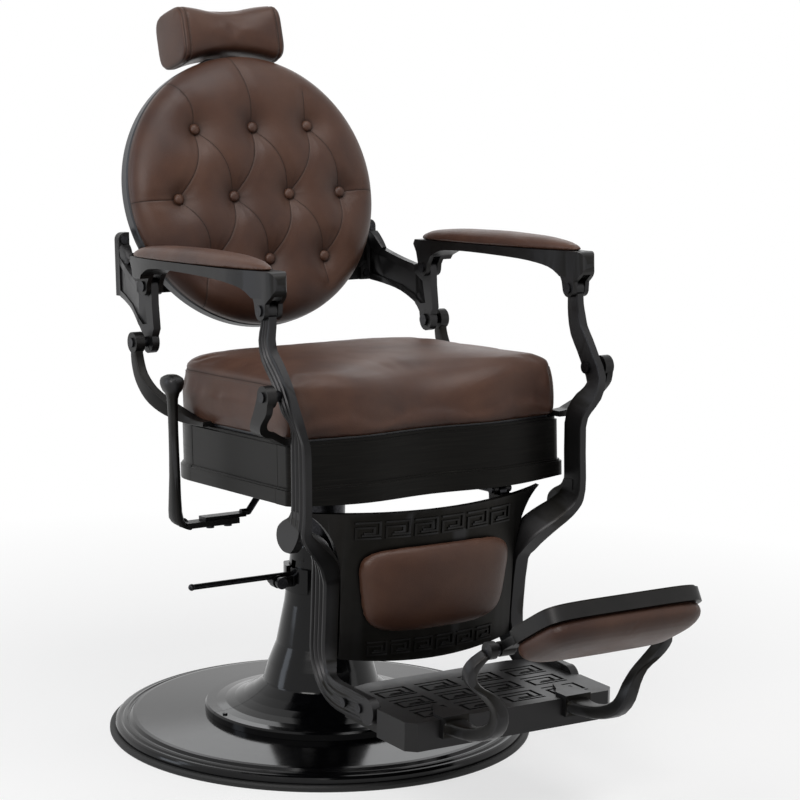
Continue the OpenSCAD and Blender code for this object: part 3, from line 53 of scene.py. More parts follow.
def makeCamera(setup):
    az, el, roll = (math.radians(setup[k]) for k in ("azimuth", "elevation", "roll"))
    back = Vector((math.sin(az) * math.cos(el), -math.cos(az) * math.cos(el), math.sin(el)))
    right = Vector((math.cos(az), math.sin(az), 0))
    up = back.cross(right)
    across = right * math.cos(roll) + up * math.sin(roll)
    upright = up * math.cos(roll) - right * math.sin(roll)
    data = bpy.data.cameras.new("camera")
    data.lens = setup["lens"]
    data.clip_end = 50
    camera = bpy.data.objects.new("camera", data)
    turn = Matrix((across, upright, back)).transposed().to_4x4()
    camera.matrix_world = Matrix.Translation(setup["place"]) @ turn
    scene.collection.objects.link(camera)
    scene.camera = camera


makeCamera(cameraSetup)

# the frames that the upper pieces are drawn in
lean = {"seat": 3.5, "seatAxis": 0.470, "back": 13.3, "backPlace": (0, 0.220, 0.902), "panelPlace": (0, -0.308, 0.199),
        "panel": math.degrees(math.atan2(29, 234)), "flip": 27, "flipPlace": (0, -0.719, 0.286)}
seatFrame = (Matrix.Translation((0, 0, lean["seatAxis"])) @ Matrix.Rotation(math.radians(-lean["seat"]), 4, "X")
             @ Matrix.Translation((0, 0, -lean["seatAxis"])))
backFrame = seatFrame @ Matrix.Translation(lean["backPlace"]) @ Matrix.Rotation(math.radians(-lean["back"]), 4, "X")
panelFrame = seatFrame @ Matrix.Translation(lean["panelPlace"]) @ Matrix.Rotation(math.radians(lean["panel"]), 4, "X")
flipFrame = seatFrame @ Matrix.Translation(lean["flipPlace"]) @ Matrix.Rotation(math.radians(-lean["flip"]), 4, "X")


# ---- materials ----
def linear(hexColour, alpha=1.0):
    parts = [int(hexColour[i:i + 2], 16) / 255 for i in (1, 3, 5)]
    return tuple(c / 12.92 if c <= 0.04045 else ((c + 0.055) / 1.055) ** 2.4 for c in parts) + (alpha,)


def addNode(tree, kind, values=None, links=None, **settings):
    node = tree.nodes.new(kind)
    for name, value in settings.items():
        setattr(node, name, value)
    for name, value in (values or {}).items():
        node.inputs[name].default_value = value
    for name, socket in (links or {}).items():
        tree.links.new(socket, node.inputs[name])
    return node


def newMaterial(name, values):
    material = bpy.data.materials.new(name)
    material.use_nodes = True
    tree = material.node_tree
    shader = tree.nodes["Principled BSDF"]
    for key, value in values.items():
        shader.inputs[key].default_value = value
    coords = addNode(tree, "ShaderNodeTexCoord").outputs["Object"]
    return material, tree, shader, coords


def ramp(tree, socket, stops):
    node = addNode(tree, "ShaderNodeValToRGB", links={"Fac": socket})
    for _ in range(len(stops) - 2):
        node.color_ramp.elements.new(0.5)
    for element, (place, colour) in zip(node.color_ramp.elements, stops):
        element.position = place
        element.color = colour
    return node.outputs["Color"]


def grey(value):
    return (value, value, value, 1)


# pigmented upholstery leather: pressed grain about 1.4 mm across, drawn at 2.2 mm so that it shows,
# a soft broken highlight, painted shade (duller too) in the folds, dimples and seam grooves, and thin dark lines:
# painted shade along creases, a dark joint line along seams
leatherLook = {"dark": "#38221a", "mid": "#482e22", "light": "#573b2d", "crease": "#120905", "grain": 450,
               "pores": 1100, "roughness": 0.41, "cloud": 9.0, "wear": 26.0, "wave": 30.0,
               "lineFrom": 0.35, "lineTo": 0.95, "nearFrom": 0.25, "nearTo": 0.45, "lineShare": 0.85}


def makeLeather(look):
    material, tree, shader, coords = newMaterial("pigmentedLeather", {
        "IOR": 1.5, "Specular IOR Level": 0.3, "Sheen Weight": 0.03, "Sheen Roughness": 0.45})
    shader.inputs["Sheen Tint"].default_value = linear("#c9b9ae")
    cloud = addNode(tree, "ShaderNodeTexNoise", {"Scale": look["cloud"], "Detail": 5.0, "Roughness": 0.55},
                    {"Vector": coords})
    tone = ramp(tree, cloud.outputs["Fac"],
                [(0.28, linear(look["dark"])), (0.52, linear(look["mid"])), (0.8, linear(look["light"]))])
    # the line's width comes from a signed distance in millimetres, and it is drawn only close to the line
    side = addNode(tree, "ShaderNodeAttribute", attribute_name="creaseSide")
    reach = addNode(tree, "ShaderNodeAttribute", attribute_name="creaseNear")
    apart = addNode(tree, "ShaderNodeMath", links={0: side.outputs["Fac"]}, operation="ABSOLUTE")
    thin = addNode(tree, "ShaderNodeMapRange",
                   {"From Min": look["lineFrom"], "From Max": look["lineTo"], "To Min": 1.0, "To Max": 0.0},
                   {"Value": apart.outputs[0]})
    near = addNode(tree, "ShaderNodeMapRange", {"From Min": look["nearFrom"], "From Max": look["nearTo"]},
                   {"Value": reach.outputs["Fac"]})
    line = addNode(tree, "ShaderNodeMath", links={0: thin.outputs["Result"], 1: near.outputs["Result"]},
                   operation="MULTIPLY")
    # painted shade: this attribute darkens folds, button dimples, seam grooves and the back's rim wall
    folds = addNode(tree, "ShaderNodeAttribute", attribute_name="fold")
    drawn = addNode(tree, "ShaderNodeMath", {1: look["lineShare"]}, {0: line.outputs[0]}, operation="MULTIPLY")
    # painted shade and crease lines together, mixed towards the near-black crease colour
    deep = addNode(tree, "ShaderNodeMath", links={0: folds.outputs["Fac"], 1: drawn.outputs[0]}, operation="MAXIMUM")
    shadedTone = addNode(tree, "ShaderNodeMixRGB", {"Color2": linear(look["crease"])},
                      {"Fac": deep.outputs[0], "Color1": tone})
    cells = addNode(tree, "ShaderNodeTexVoronoi", {"Scale": look["grain"], "Randomness": 0.9}, {"Vector": coords},
                    feature="DISTANCE_TO_EDGE")
    crackle = ramp(tree, cells.outputs["Distance"], [(0.0, grey(0.0)), (0.22, grey(0.85)), (0.6, grey(1.0))])
    pores = addNode(tree, "ShaderNodeTexNoise", {"Scale": look["pores"], "Detail": 3.0}, {"Vector": coords})
    valley = addNode(tree, "ShaderNodeMixRGB", {"Fac": 0.16, "Color2": grey(0.5)},
                     {"Color1": shadedTone.outputs["Color"]}, blend_type="MULTIPLY")
    pitted = addNode(tree, "ShaderNodeMixRGB",
                     links={"Fac": crackle, "Color1": valley.outputs["Color"], "Color2": shadedTone.outputs["Color"]})
    tree.links.new(pitted.outputs["Color"], shader.inputs["Base Color"])
    worn = addNode(tree, "ShaderNodeTexNoise", {"Scale": look["wear"], "Detail": 4.0}, {"Vector": coords})
    gloss = addNode(tree, "ShaderNodeMapRange",
                    {"To Min": look["roughness"] - 0.06, "To Max": look["roughness"] + 0.09},
                    {"Value": worn.outputs["Fac"]})
    dulled = addNode(tree, "ShaderNodeMath", {1: 0.35}, {0: deep.outputs[0], 2: gloss.outputs["Result"]},
                     operation="MULTIPLY_ADD")
    tree.links.new(dulled.outputs[0], shader.inputs["Roughness"])
    fine = addNode(tree, "ShaderNodeBump", {"Strength": 0.08, "Distance": 0.0004}, {"Height": pores.outputs["Fac"]})
    grain = addNode(tree, "ShaderNodeBump", {"Strength": 0.16, "Distance": 0.0006},
                    {"Height": crackle, "Normal": fine.outputs["Normal"]})
    softWave = addNode(tree, "ShaderNodeTexNoise", {"Scale": look["wave"], "Detail": 2.0}, {"Vector": coords})
    hide = addNode(tree, "ShaderNodeBump", {"Strength": 0.18, "Distance": 0.0012},
                   {"Height": softWave.outputs["Fac"], "Normal": grain.outputs["Normal"]})
    cut = addNode(tree, "ShaderNodeBump", {"Strength": 0.5, "Distance": 0.0006},
                  {"Height": line.outputs[0], "Normal": hide.outputs["Normal"]}, invert=True)
    tree.links.new(cut.outputs["Normal"], shader.inputs["Normal"])
    return material


# spun polyester thread, a shade off the leather: its twist is 0.9 mm, drawn as it is
def makeThread():
    material, tree, shader, coords = newMaterial("polyesterThread", {
        "IOR": 1.55, "Specular IOR Level": 0.3, "Sheen Weight": 0.2})
    twist = addNode(tree, "ShaderNodeTexNoise", {"Scale": 1100.0, "Detail": 1.0}, {"Vector": coords})
    tone = ramp(tree, twist.outputs["Fac"], [(0.35, linear("#2a1b14")), (0.7, linear("#4a372c"))])
    tree.links.new(tone, shader.inputs["Base Color"])
    gloss = addNode(tree, "ShaderNodeMapRange", {"To Min": 0.5, "To Max": 0.7}, {"Value": twist.outputs["Fac"]})
    tree.links.new(gloss.outputs["Result"], shader.inputs["Roughness"])
    strand = addNode(tree, "ShaderNodeBump", {"Strength": 0.3, "Distance": 0.0002}, {"Height": twist.outputs["Fac"]})
    tree.links.new(strand.outputs["Normal"], shader.inputs["Normal"])
    return material


# sand-cast aluminium under a blackened lacquer: fine cast texture about 0.8 mm; sharp edges lightened to cool grey,
# partly metal rubbed through and partly a painted edge highlight
castLook = {"base": "#1b1916", "shade": "#100f0c", "edge": "#3c3c3e", "skin": 900, "roughness": 0.42}


def makeCast(look):
    material, tree, shader, coords = newMaterial("blackenedCasting", {"Metallic": 0.85})
    cloud = addNode(tree, "ShaderNodeTexNoise", {"Scale": 22.0, "Detail": 6.0, "Roughness": 0.6}, {"Vector": coords})
    tone = ramp(tree, cloud.outputs["Fac"], [(0.3, linear(look["shade"])), (0.68, linear(look["base"]))])
    # sharp edges lightened: partly rubbed-through metal, partly a painted edge highlight
    edgeWearAndHighlight = addNode(tree, "ShaderNodeNewGeometry")
    edges = ramp(tree, edgeWearAndHighlight.outputs["Pointiness"], [(0.505, grey(0.0)), (0.56, grey(0.5))])
    tinted = addNode(tree, "ShaderNodeMixRGB", {"Color2": linear(look["edge"])}, {"Fac": edges, "Color1": tone})
    tree.links.new(tinted.outputs["Color"], shader.inputs["Base Color"])
    gloss = addNode(tree, "ShaderNodeMapRange",
                    {"To Min": look["roughness"] - 0.10, "To Max": look["roughness"] + 0.08},
                    {"Value": cloud.outputs["Fac"]})
    tree.links.new(gloss.outputs["Result"], shader.inputs["Roughness"])
    sand = addNode(tree, "ShaderNodeTexNoise", {"Scale": look["skin"], "Detail": 2.0}, {"Vector": coords})
    skin = addNode(tree, "ShaderNodeBump", {"Strength": 0.10, "Distance": 0.0004}, {"Height": sand.outputs["Fac"]})
    tree.links.new(skin.outputs["Normal"], shader.inputs["Normal"])
    return material


# the seat's rails are the same lacquer over metal brushed along its length: streaks 0.5 mm high and 60 mm long
def makeBrushed():
    material, tree, shader, coords = newMaterial("brushedBlackRail", {"Metallic": 0.88})
    stretch = addNode(tree, "ShaderNodeMapping", {"Scale": (1.0, 1.0, 46.0)}, {"Vector": coords})
    streaks = addNode(tree, "ShaderNodeTexNoise", {"Scale": 14.0, "Detail": 7.0, "Roughness": 0.65},
                      {"Vector": stretch.outputs["Vector"]})
    tone = ramp(tree, streaks.outputs["Fac"],
                [(0.32, linear("#0c0b0a")), (0.6, linear("#151412")), (0.85, linear("#262522"))])
    tree.links.new(tone, shader.inputs["Base Color"])
    gloss = addNode(tree, "ShaderNodeMapRange", {"To Min": 0.28, "To Max": 0.52}, {"Value": streaks.outputs["Fac"]})
    tree.links.new(gloss.outputs["Result"], shader.inputs["Roughness"])
    lines = addNode(tree, "ShaderNodeBump", {"Strength": 0.2, "Distance": 0.0003}, {"Height": streaks.outputs["Fac"]})
    tree.links.new(lines.outputs["Normal"], shader.inputs["Normal"])
    return material


# stoved gloss enamel: deep black, almost a mirror, with a slight orange peel of 4 mm
def makeEnamel():
    material, tree, shader, coords = newMaterial("stovedEnamel", {"IOR": 1.5, "Specular IOR Level": 0.22})
    dust = addNode(tree, "ShaderNodeTexNoise", {"Scale": 60.0, "Detail": 5.0}, {"Vector": coords})
    tone = ramp(tree, dust.outputs["Fac"], [(0.3, linear("#050506")), (0.75, linear("#0a0a0c"))])
    tree.links.new(tone, shader.inputs["Base Color"])
    gloss = addNode(tree, "ShaderNodeMapRange", {"To Min": 0.09, "To Max": 0.16}, {"Value": dust.outputs["Fac"]})
    tree.links.new(gloss.outputs["Result"], shader.inputs["Roughness"])
    peel = addNode(tree, "ShaderNodeTexNoise", {"Scale": 240.0, "Detail": 1.0}, {"Vector": coords})
    skin = addNode(tree, "ShaderNodeBump", {"Strength": 0.03, "Distance": 0.0004}, {"Height": peel.outputs["Fac"]})
    tree.links.new(skin.outputs["Normal"], shader.inputs["Normal"])
    return material


# turned and blackened steel: faint tool marks 0.4 mm apart
def makeSteel():
    material, tree, shader, coords = newMaterial("blackenedSteel", {"Metallic": 0.9})
    marks = addNode(tree, "ShaderNodeTexNoise", {"Scale": 320.0, "Detail": 3.0}, {"Vector": coords})
    tone = ramp(tree, marks.outputs["Fac"], [(0.3, linear("#1b1b1d")), (0.75, linear("#37373a"))])
    tree.links.new(tone, shader.inputs["Base Color"])
    gloss = addNode(tree, "ShaderNodeMapRange", {"To Min": 0.24, "To Max": 0.42}, {"Value": marks.outputs["Fac"]})
    tree.links.new(gloss.outputs["Result"], shader.inputs["Roughness"])
    skin = addNode(tree, "ShaderNodeBump", {"Strength": 0.06, "Distance": 0.0002}, {"Height": marks.outputs["Fac"]})
    tree.links.new(skin.outputs["Normal"], shader.inputs["Normal"])
    return material


# moulded rubber: matt with a fine blast texture of 0.6 mm
def makeRubber():
    material, tree, shader, coords = newMaterial("mouldedRubber", {"IOR": 1.52, "Specular IOR Level": 0.35})
    blast = addNode(tree, "ShaderNodeTexNoise", {"Scale": 800.0, "Detail": 2.0}, {"Vector": coords})
    tone = ramp(tree, blast.outputs["Fac"], [(0.3, linear("#101010")), (0.8, linear("#1c1c1c"))])
    tree.links.new(tone, shader.inputs["Base Color"])
    gloss = addNode(tree, "ShaderNodeMapRange", {"To Min": 0.55, "To Max": 0.72}, {"Value": blast.outputs["Fac"]})
    tree.links.new(gloss.outputs["Result"], shader.inputs["Roughness"])
    skin = addNode(tree, "ShaderNodeBump", {"Strength": 0.15, "Distance": 0.0003}, {"Height": blast.outputs["Fac"]})
    tree.links.new(skin.outputs["Normal"], shader.inputs["Normal"])
    return material


# satin moulded ABS for the back's shell: a spark texture of about 1 mm
def makeShell():
    material, tree, shader, coords = newMaterial("satinAbs", {"IOR": 1.53, "Specular IOR Level": 0.5})
    spark = addNode(tree, "ShaderNodeTexNoise", {"Scale": 520.0, "Detail": 3.0}, {"Vector": coords})
    tone = ramp(tree, spark.outputs["Fac"], [(0.3, linear("#17181b")), (0.8, linear("#22242a"))])
    tree.links.new(tone, shader.inputs["Base Color"])
    gloss = addNode(tree, "ShaderNodeMapRange", {"To Min": 0.30, "To Max": 0.44}, {"Value": spark.outputs["Fac"]})
    tree.links.new(gloss.outputs["Result"], shader.inputs["Roughness"])
    skin = addNode(tree, "ShaderNodeBump", {"Strength": 0.10, "Distance": 0.0003}, {"Height": spark.outputs["Fac"]})
    tree.links.new(skin.outputs["Normal"], shader.inputs["Normal"])
    return material


leather = makeLeather(leatherLook)
casting = makeCast(castLook)
railMetal = makeBrushed()
enamel = makeEnamel()
steel = makeSteel()
rubber = makeRubber()
shellPlastic = makeShell()
threadFibre = makeThread()
bySlot = {"brown_leather": leather, "black_rubber": rubber, "gloss_black": enamel, "dark_steel": steel,
          "backing_board": shellPlastic, "cast_bronze_black": casting}
railNodes = ("front_rail", "side_rail_left", "side_rail_right", "rear_rail")
for subpart in frame["record"]["subparts"]:
    name = subpart["node"]
    material = railMetal if name in railNodes else bySlot[subpart["material_slot"]]
    for place in cadNodes[name].material_slots:
        place.material = material
print("materials on", len(cadNodes), "nodes")

# castings and pressings get the small rounded edges that catch the light
edgeRounds = {
    0.0022: ("arm_left", "arm_right"),
    0.0015: railNodes + ("footrest_tray", "back_brackets", "back_crossplate"),
    0.0010: ("tread_plate", "recline_lever", "headrest_socket", "swivel_head", "leg_left", "leg_right",
             "footrest_brackets"),
    0.0006: ("calf_panel", "front_pivot_arms", "rear_pivot_arms", "lever_yoke", "headrest_yoke"),
}
for width, names in edgeRounds.items():
    for name in names:
        node = cadNodes[name]
        weld = node.modifiers.new("weld", "WELD")
        weld.merge_threshold = 1e-6
        bevel = node.modifiers.new("edges", "BEVEL")
        bevel.width = width
        bevel.segments = 2
        bevel.limit_method = "ANGLE"
        bevel.angle_limit = math.radians(38)
        bevel.use_clamp_overlap = True
        bevel.harden_normals = False
        node.data.polygons.foreach_set("use_smooth", [True] * len(node.data.polygons))
        shade = node.modifiers.new("shade", "WEIGHTED_NORMAL")
        shade.keep_sharp = False
        shade.weight = 100
print("edges rounded")


# ---- padded pieces ----
def loft(rings):
    # one closed outline, drawn out from ring to ring
    bm = bmesh.new()
    ring = bmesh.ops.create_circle(bm, segments=len(rings[0]), radius=1, cap_ends=False)["verts"]
    for v, p in zip(ring, rings[0]):
        v.co = p
    caps = [bm.faces.new(ring)]
    for points in rings[1:]:
        edges = [e for a, b in zip(ring, ring[1:] + ring[:1]) for e in a.link_edges if e.other_vert(a) is b]
        fresh = {g for g in bmesh.ops.extrude_edge_only(bm, edges=edges)["geom"] if isinstance(g, bmesh.types.BMVert)}
        ring = [next(e.other_vert(v) for e in v.link_edges if e.other_vert(v) in fresh) for v in ring]
        for v, p in zip(ring, points):
            v.co = p
    caps.append(bm.faces.new(ring))
    if len(ring) > 12:
        bmesh.ops.poke(bm, faces=caps)
    return bm


def finishPiece(name, bm, place, material, body, replaced=()):
    bm.transform(place)
    bmesh.ops.recalc_face_normals(bm, faces=bm.faces)
    mesh = bpy.data.meshes.new(name)
    bm.to_mesh(mesh)
    bm.free()
    mesh.polygons.foreach_set("use_smooth", [True] * len(mesh.polygons))
    mesh.materials.append(material)
    piece = bpy.data.objects.new(name, mesh)
    scene.collection.objects.link(piece)
    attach(piece, body)
    if replaced:
        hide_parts(*replaced)
    return piece


clothRun = {"quality": 5, "stretch": 20, "bending": 2, "frames": 20, "passes": 4}


def puff(bm, look):
    # the leather is blown up over its foam as a cloth, then held to a few millimetres and to its seat
    mesh = bpy.data.meshes.new("blank")
    bmesh.ops.recalc_face_normals(bm, faces=bm.faces)
    bm.to_mesh(mesh)
    bm.free()
    blank = bpy.data.objects.new("blank", mesh)
    scene.collection.objects.link(blank)
    remesh = blank.modifiers.new("remesh", "REMESH")
    remesh.mode = "VOXEL"
    remesh.voxel_size = look["voxel"]
    fine = bpy.data.meshes.new_from_object(blank.evaluated_get(bpy.context.evaluated_depsgraph_get()))
    blank.modifiers.remove(remesh)
    blank.data = fine
    start = np.empty(len(fine.vertices) * 3, dtype=np.float32)
    fine.vertices.foreach_get("co", start)
    start = start.reshape(-1, 3)
    held = blank.vertex_groups.new(name="held")
    held.add([i for i, p in enumerate(start) if look["held"](p)], 1.0, "REPLACE")
    cloth = blank.modifiers.new("cloth", "CLOTH")
    cloth.settings.quality = clothRun["quality"]
    cloth.settings.use_pressure = True
    cloth.settings.uniform_pressure_force = look["pressure"]
    cloth.settings.effector_weights.gravity = 0
    cloth.settings.vertex_group_mass = "held"
    cloth.settings.tension_stiffness = clothRun["stretch"]
    cloth.settings.compression_stiffness = clothRun["stretch"]
    cloth.settings.bending_stiffness = clothRun["bending"]
    cloth.collision_settings.use_collision = False
    for step in range(1, clothRun["frames"] + 1):
        scene.frame_set(step)
    blown = blank.evaluated_get(bpy.context.evaluated_depsgraph_get()).to_mesh()
    after = np.empty_like(start).reshape(-1)
    blown.vertices.foreach_get("co", after)
    after = after.reshape(-1, 3)
    scene.frame_set(1)
    blank.modifiers.clear()
    moved = after - start
    length = np.linalg.norm(moved, axis=1, keepdims=True)
    moved *= np.minimum(1, look["cap"] / np.maximum(length, 1e-9))
    placed = start + moved
    placed = look["limit"](placed) if "limit" in look else placed
    out = bmesh.new()
    out.from_mesh(fine)
    for v, p in zip(out.verts, placed):
        v.co = p
    bpy.data.objects.remove(blank)
    bmesh.ops.subdivide_edges(out, edges=out.edges, cuts=1, use_grid_fill=True)
    for _ in range(look.get("smooth", clothRun["passes"])):
        bmesh.ops.smooth_vert(out, verts=out.verts, factor=0.5, use_axis_x=True, use_axis_y=True, use_axis_z=True)
    print("  puffed:", len(out.verts), "points, moved up to", round(float(length.max()) * 1000, 1), "mm")
    return out


def paintShade(piece, values):
    layer = piece.data.attributes.new("fold", "FLOAT", "POINT")
    layer.data.foreach_set("value", values)


def piecePoints(piece):
    flat = np.empty(len(piece.data.vertices) * 3, dtype=np.float32)
    piece.data.vertices.foreach_get("co", flat)
    return flat.reshape(-1, 3)


def nearestTo(points, lines):
    return offsetFrom(points, np.zeros_like(points), lines)[0]


def offsetFrom(points, normals, lines):
    # how far each point is from the nearest line, and on which side of it
    best, side = np.full(len(points), 1.0), np.ones(len(points))
    for line in lines:
        for a, b in zip(line, line[1:]):
            a, b = np.array(a), np.array(b)
            d = b - a
            t = np.clip(((points - a) @ d) / max(float(d @ d), 1e-12), 0, 1)
            off = points - a - t[:, None] * d
            gap = np.linalg.norm(off, axis=1)
            near = gap < best
            best[near] = gap[near]
            if points.shape[1] == 3:
                side[near] = np.where(np.einsum("ij,ij->i", np.cross(d, normals[near]), off[near]) < 0, -1.0, 1.0)
    return best, side


def paintCrease(piece, gap, side):
    for name, values in (("creaseSide", gap * side * 1000), ("creaseNear", np.clip(1 - gap / 0.006, 0, 1))):
        layer = piece.data.attributes.new(name, "FLOAT", "POINT")
        layer.data.foreach_set("value", values.astype(np.float32))


# seams: a sunk dark line where two panels meet, with painted shade along its groove, and a row of saddle stitches
# beside it
sewing = {"thread": 0.00035, "stitch": 0.0042, "pitch": 0.0058, "sides": 6, "groove": 0.0028, "sink": 0.0013,
          "follow": 0.006, "shade": 0.30}


def snapped(piece, points, lift=0.0):
    tree = BVHTree.FromPolygons([v.co for v in piece.data.vertices], [p.vertices[:] for p in piece.data.polygons])
    out = []
    for p in points:
        place, normal, _, _ = tree.find_nearest(p)
        out.append((place + normal * lift, normal))
    return out


def evenly(points, spacing):
    lengths = [(b - a).length for a, b in zip(points, points[1:])]
    total, count = sum(lengths), max(2, round(sum(lengths) / spacing))
    out, i, done = [], 0, 0.0
    for k in range(count + 1):
        want = total * k / count
        while i < len(lengths) - 1 and done + lengths[i] < want:
            done += lengths[i]
            i += 1
        out.append(points[i].lerp(points[i + 1], min(1, (want - done) / max(lengths[i], 1e-9))))
    return out


def sew(name, piece, lines, seams, body, look):
    # lines get stitches, seams get the sunk line
    points = piecePoints(piece)
    normals = np.array([tuple(v.normal) for v in piece.data.vertices])
    onSkin = [[tuple(p) for p, _ in snapped(piece, evenly(line, look["follow"]))] for line in seams]
    gap, side = offsetFrom(points, normals, onSkin)
    # painted shade along each seam's groove
    paintShade(piece, look["shade"] * np.exp(-(gap / look["groove"]) ** 2))
    paintCrease(piece, gap, side)
    sunk = points - normals * (look["sink"] * np.exp(-(gap / look["groove"]) ** 2))[:, None]
    piece.data.vertices.foreach_set("co", sunk.reshape(-1))
    piece.data.update()
    threads = bmesh.new()
    for line in lines:
        places = snapped(piece, evenly(line, look["pitch"]), look["thread"] * 0.7)
        for (a, na), (b, _) in zip(places, places[1:]):
            along = (b - a).normalized()
            side = along.cross(na).normalized()
            middle, half = (a + b) / 2, look["stitch"] / 2
            rings = []
            for s, wide, sink in ((-1, 0.4, -0.7), (-0.7, 1, 0), (0.7, 1, 0), (1, 0.4, -0.7)):
                centre = middle + along * half * s + na * look["thread"] * sink
                rings.append([centre + (side * math.cos(t) + na * math.sin(t)) * look["thread"] * wide * 1.3
                              for t in [2 * math.pi * k / look["sides"] for k in range(look["sides"])]])
            stitch = loft(rings)
            mesh = bpy.data.meshes.new("stitch")
            stitch.to_mesh(mesh)
            stitch.free()
            threads.from_mesh(mesh)
            bpy.data.meshes.remove(mesh)
    return finishPiece(name, threads, Matrix(), threadFibre, body)


# seat: boxed sides that wrap the board, a full roll over the front that follows the serpentine rail,
# scooped in the middle, with a slightly crowned top
seatPad = {"half": 0.2502, "front": -0.335, "rear": 0.090, "rearCorner": 0.095, "frontCorner": 0.022,
           "bulge": 0.013, "low": 0.5478, "top": 0.6405, "crown": 0.012, "sideRound": 0.010, "frontRound": 0.024,
           "scoopRound": 0.030, "scoop": 0.017, "scoopWide": 0.112, "scoopDeep": 0.115, "belly": 0.0035,
           "seamDrop": 0.010, "middle": -0.125, "widest": 0.2512, "held": 0.014}


def seatFront(x):
    return seatPad["front"] - seatPad["bulge"] * math.sin(math.pi * min(1, abs(x) / (seatPad["half"] - 0.013))) ** 2


def seatPlan(spacing):
    half, rear, r, f = (seatPad[k] for k in ("half", "rear", "rearCorner", "frontCorner"))
    right = [Vector((k * (half - f) / 40, seatFront(k * (half - f) / 40))) for k in range(41)]
    for a in (math.radians(d) for d in range(10, 91, 10)):
        right.append(Vector((half - f + f * math.sin(a), seatPad["front"] + f * (1 - math.cos(a)))))
    for a in (math.radians(d) for d in range(0, 91, 5)):
        right.append(Vector((half - r + r * math.cos(a), rear - r + r * math.sin(a))))
    whole = right + [Vector((-p.x, p.y)) for p in reversed(right)]
    return evenly(whole + [whole[0]], spacing)[:-1]


def scooped(x):
    return math.exp(-(x / seatPad["scoopWide"]) ** 2)


def seatTop(p):
    side = max(0.0, 1 - (abs(p.x) / seatPad["half"]) ** 3) * max(0.0, 1 - (abs(p.y + 0.12) / 0.225) ** 3)
    scoop = seatPad["scoop"] * scooped(p.x) * math.exp(-((p.y - seatPad["front"]) / seatPad["scoopDeep"]) ** 2)
    return seatPad["top"] + seatPad["crown"] * side - scoop


def buildSeat():
    plan = seatPlan(0.0052)
    count = len(plan)
    inward, front = [], []
    for i, p in enumerate(plan):
        along = (plan[(i + 1) % count] - plan[i - 1]).normalized()
        inward.append(Vector((-along.y, along.x)))
        front.append(max(0.0, inward[i].y) ** 1.5 if p.y < seatPad["front"] + 0.03 else 0.0)
    more = seatPad["frontRound"] - seatPad["sideRound"]
    rounds = [seatPad["sideRound"] + (more + seatPad["scoopRound"] * scooped(p.x)) * f for f, p in zip(front, plan)]
    tops = [seatTop(p + d * 0.004) for p, d in zip(plan, inward)]
    rings, middle = [], Vector((0, seatPad["middle"]))

    def ring(offset, height):
        points = [plan[i] + inward[i] * offset(i) for i in range(count)]
        rings.append([(p.x, p.y, height(i, p)) for i, p in enumerate(points)])

    for share in (0.1, 0.3, 0.5, 0.7, 0.9):
        rings.append([(p.x * share, middle.y + (p.y - middle.y) * share, seatPad["low"]) for p in plan])
    ring(lambda i: 0.007, lambda i, p: seatPad["low"])
    ring(lambda i: 0.0045, lambda i, p: seatPad["low"] + 0.0015)
    foot = seatPad["low"] + 0.005
    for k in range(1, 13):
        u = k / 12
        bow = seatPad["belly"] * math.sin(math.pi * u) ** 0.8
        ring(lambda i: 0.004 - bow, lambda i, p: foot + (tops[i] - rounds[i] - foot) * u)
    for a in range(9, 91, 9):
        t = math.radians(a)
        ring(lambda i: 0.004 + rounds[i] * (1 - math.cos(t)), lambda i, p: seatTop(p) - rounds[i] * (1 - math.sin(t)))
    rim = [Vector(v[:2]) for v in rings[-1]]
    for k in range(1, 36):
        points = [middle.lerp(p, 1 - k / 36) for p in rim]
        rings.append([(p.x, p.y, seatTop(p)) for p in points])
    return loft(rings)


def seatLimit(p):
    p[:, 0] = np.clip(p[:, 0], -seatPad["widest"], seatPad["widest"])
    p[:, 2] = np.maximum(p[:, 2], seatPad["low"])
    return p


seatPuff = {"voxel": 0.006, "pressure": 3, "cap": 0.005, "smooth": 8,
            "held": lambda p: p[2] < seatPad["low"] + seatPad["held"], "limit": seatLimit}
seatPiece = finishPiece("seatLeather", puff(buildSeat(), seatPuff), seatFrame, leather, "seat",
                        ("seat_cushion",))


def seatSeams():
    # the boxing's seam runs round under the top edge and turns down the front face beside each corner
    plan = seatPlan(0.004)
    level = seatPad["top"] - seatPad["seamDrop"]
    side = [p for p in plan if p.y > seatPad["front"] + 0.016]
    start = next(i for i in range(len(side)) if (side[i] - side[i - 1]).length > 0.02)
    side = side[start:] + side[:start]
    top = [Vector((p.x, p.y, level)) for p in side]
    lines = [top]
    for s in (-1, 1):
        x = s * (seatPad["half"] - 0.012)
        corner = Vector((x, seatPad["front"] + 0.004, 0))
        down = [Vector((corner.x, corner.y, z)) for z in np.linspace(seatPad["low"] + 0.004, level - 0.006, 12)]
        over = [Vector((s * (seatPad["half"] - 0.003), seatPad["front"] + 0.010, level - 0.0015)),
                Vector((s * seatPad["half"], seatPad["front"] + 0.02, level))]
        lines.append(down + over)
    return [[seatFrame @ p for p in line] for line in lines]


seatLines = seatSeams()
below = seatFrame.to_3x3() @ Vector((0, 0, -0.004))
sew("seatThread", seatPiece, [[p + below for p in seatLines[0]]] + seatLines[1:], seatLines, "seat", sewing)
print("seat cushion:", len(seatPiece.data.vertices), "points")

# back: leather pulled to ten buttons in broad soft dimples
# fine creases run in slack curves from row to row and out to the rim
backPad = {"radius": 0.2335, "crown": 0.052,
           "rows": ((0.103, (-0.109, 0, 0.109)), (-0.015, (-0.156, -0.0534, 0.0534, 0.156)),
                    (-0.125, (-0.109, 0, 0.109))),
           "tuft": 0.0215, "tuftReach": 0.033, "pleat": 0.0022, "pleatReach": 0.024, "crease": 0.0010,
           "creaseReach": 0.0017, "slack": 0.012, "steps": 300, "neighbour": 0.15, "edgeBand": 0.03,
           "lineShade": (0.20, 0.0035), "wellShade": (0.80, 0.0150), "haloShade": (0.34, 0.026), "rimShade": 0.6}


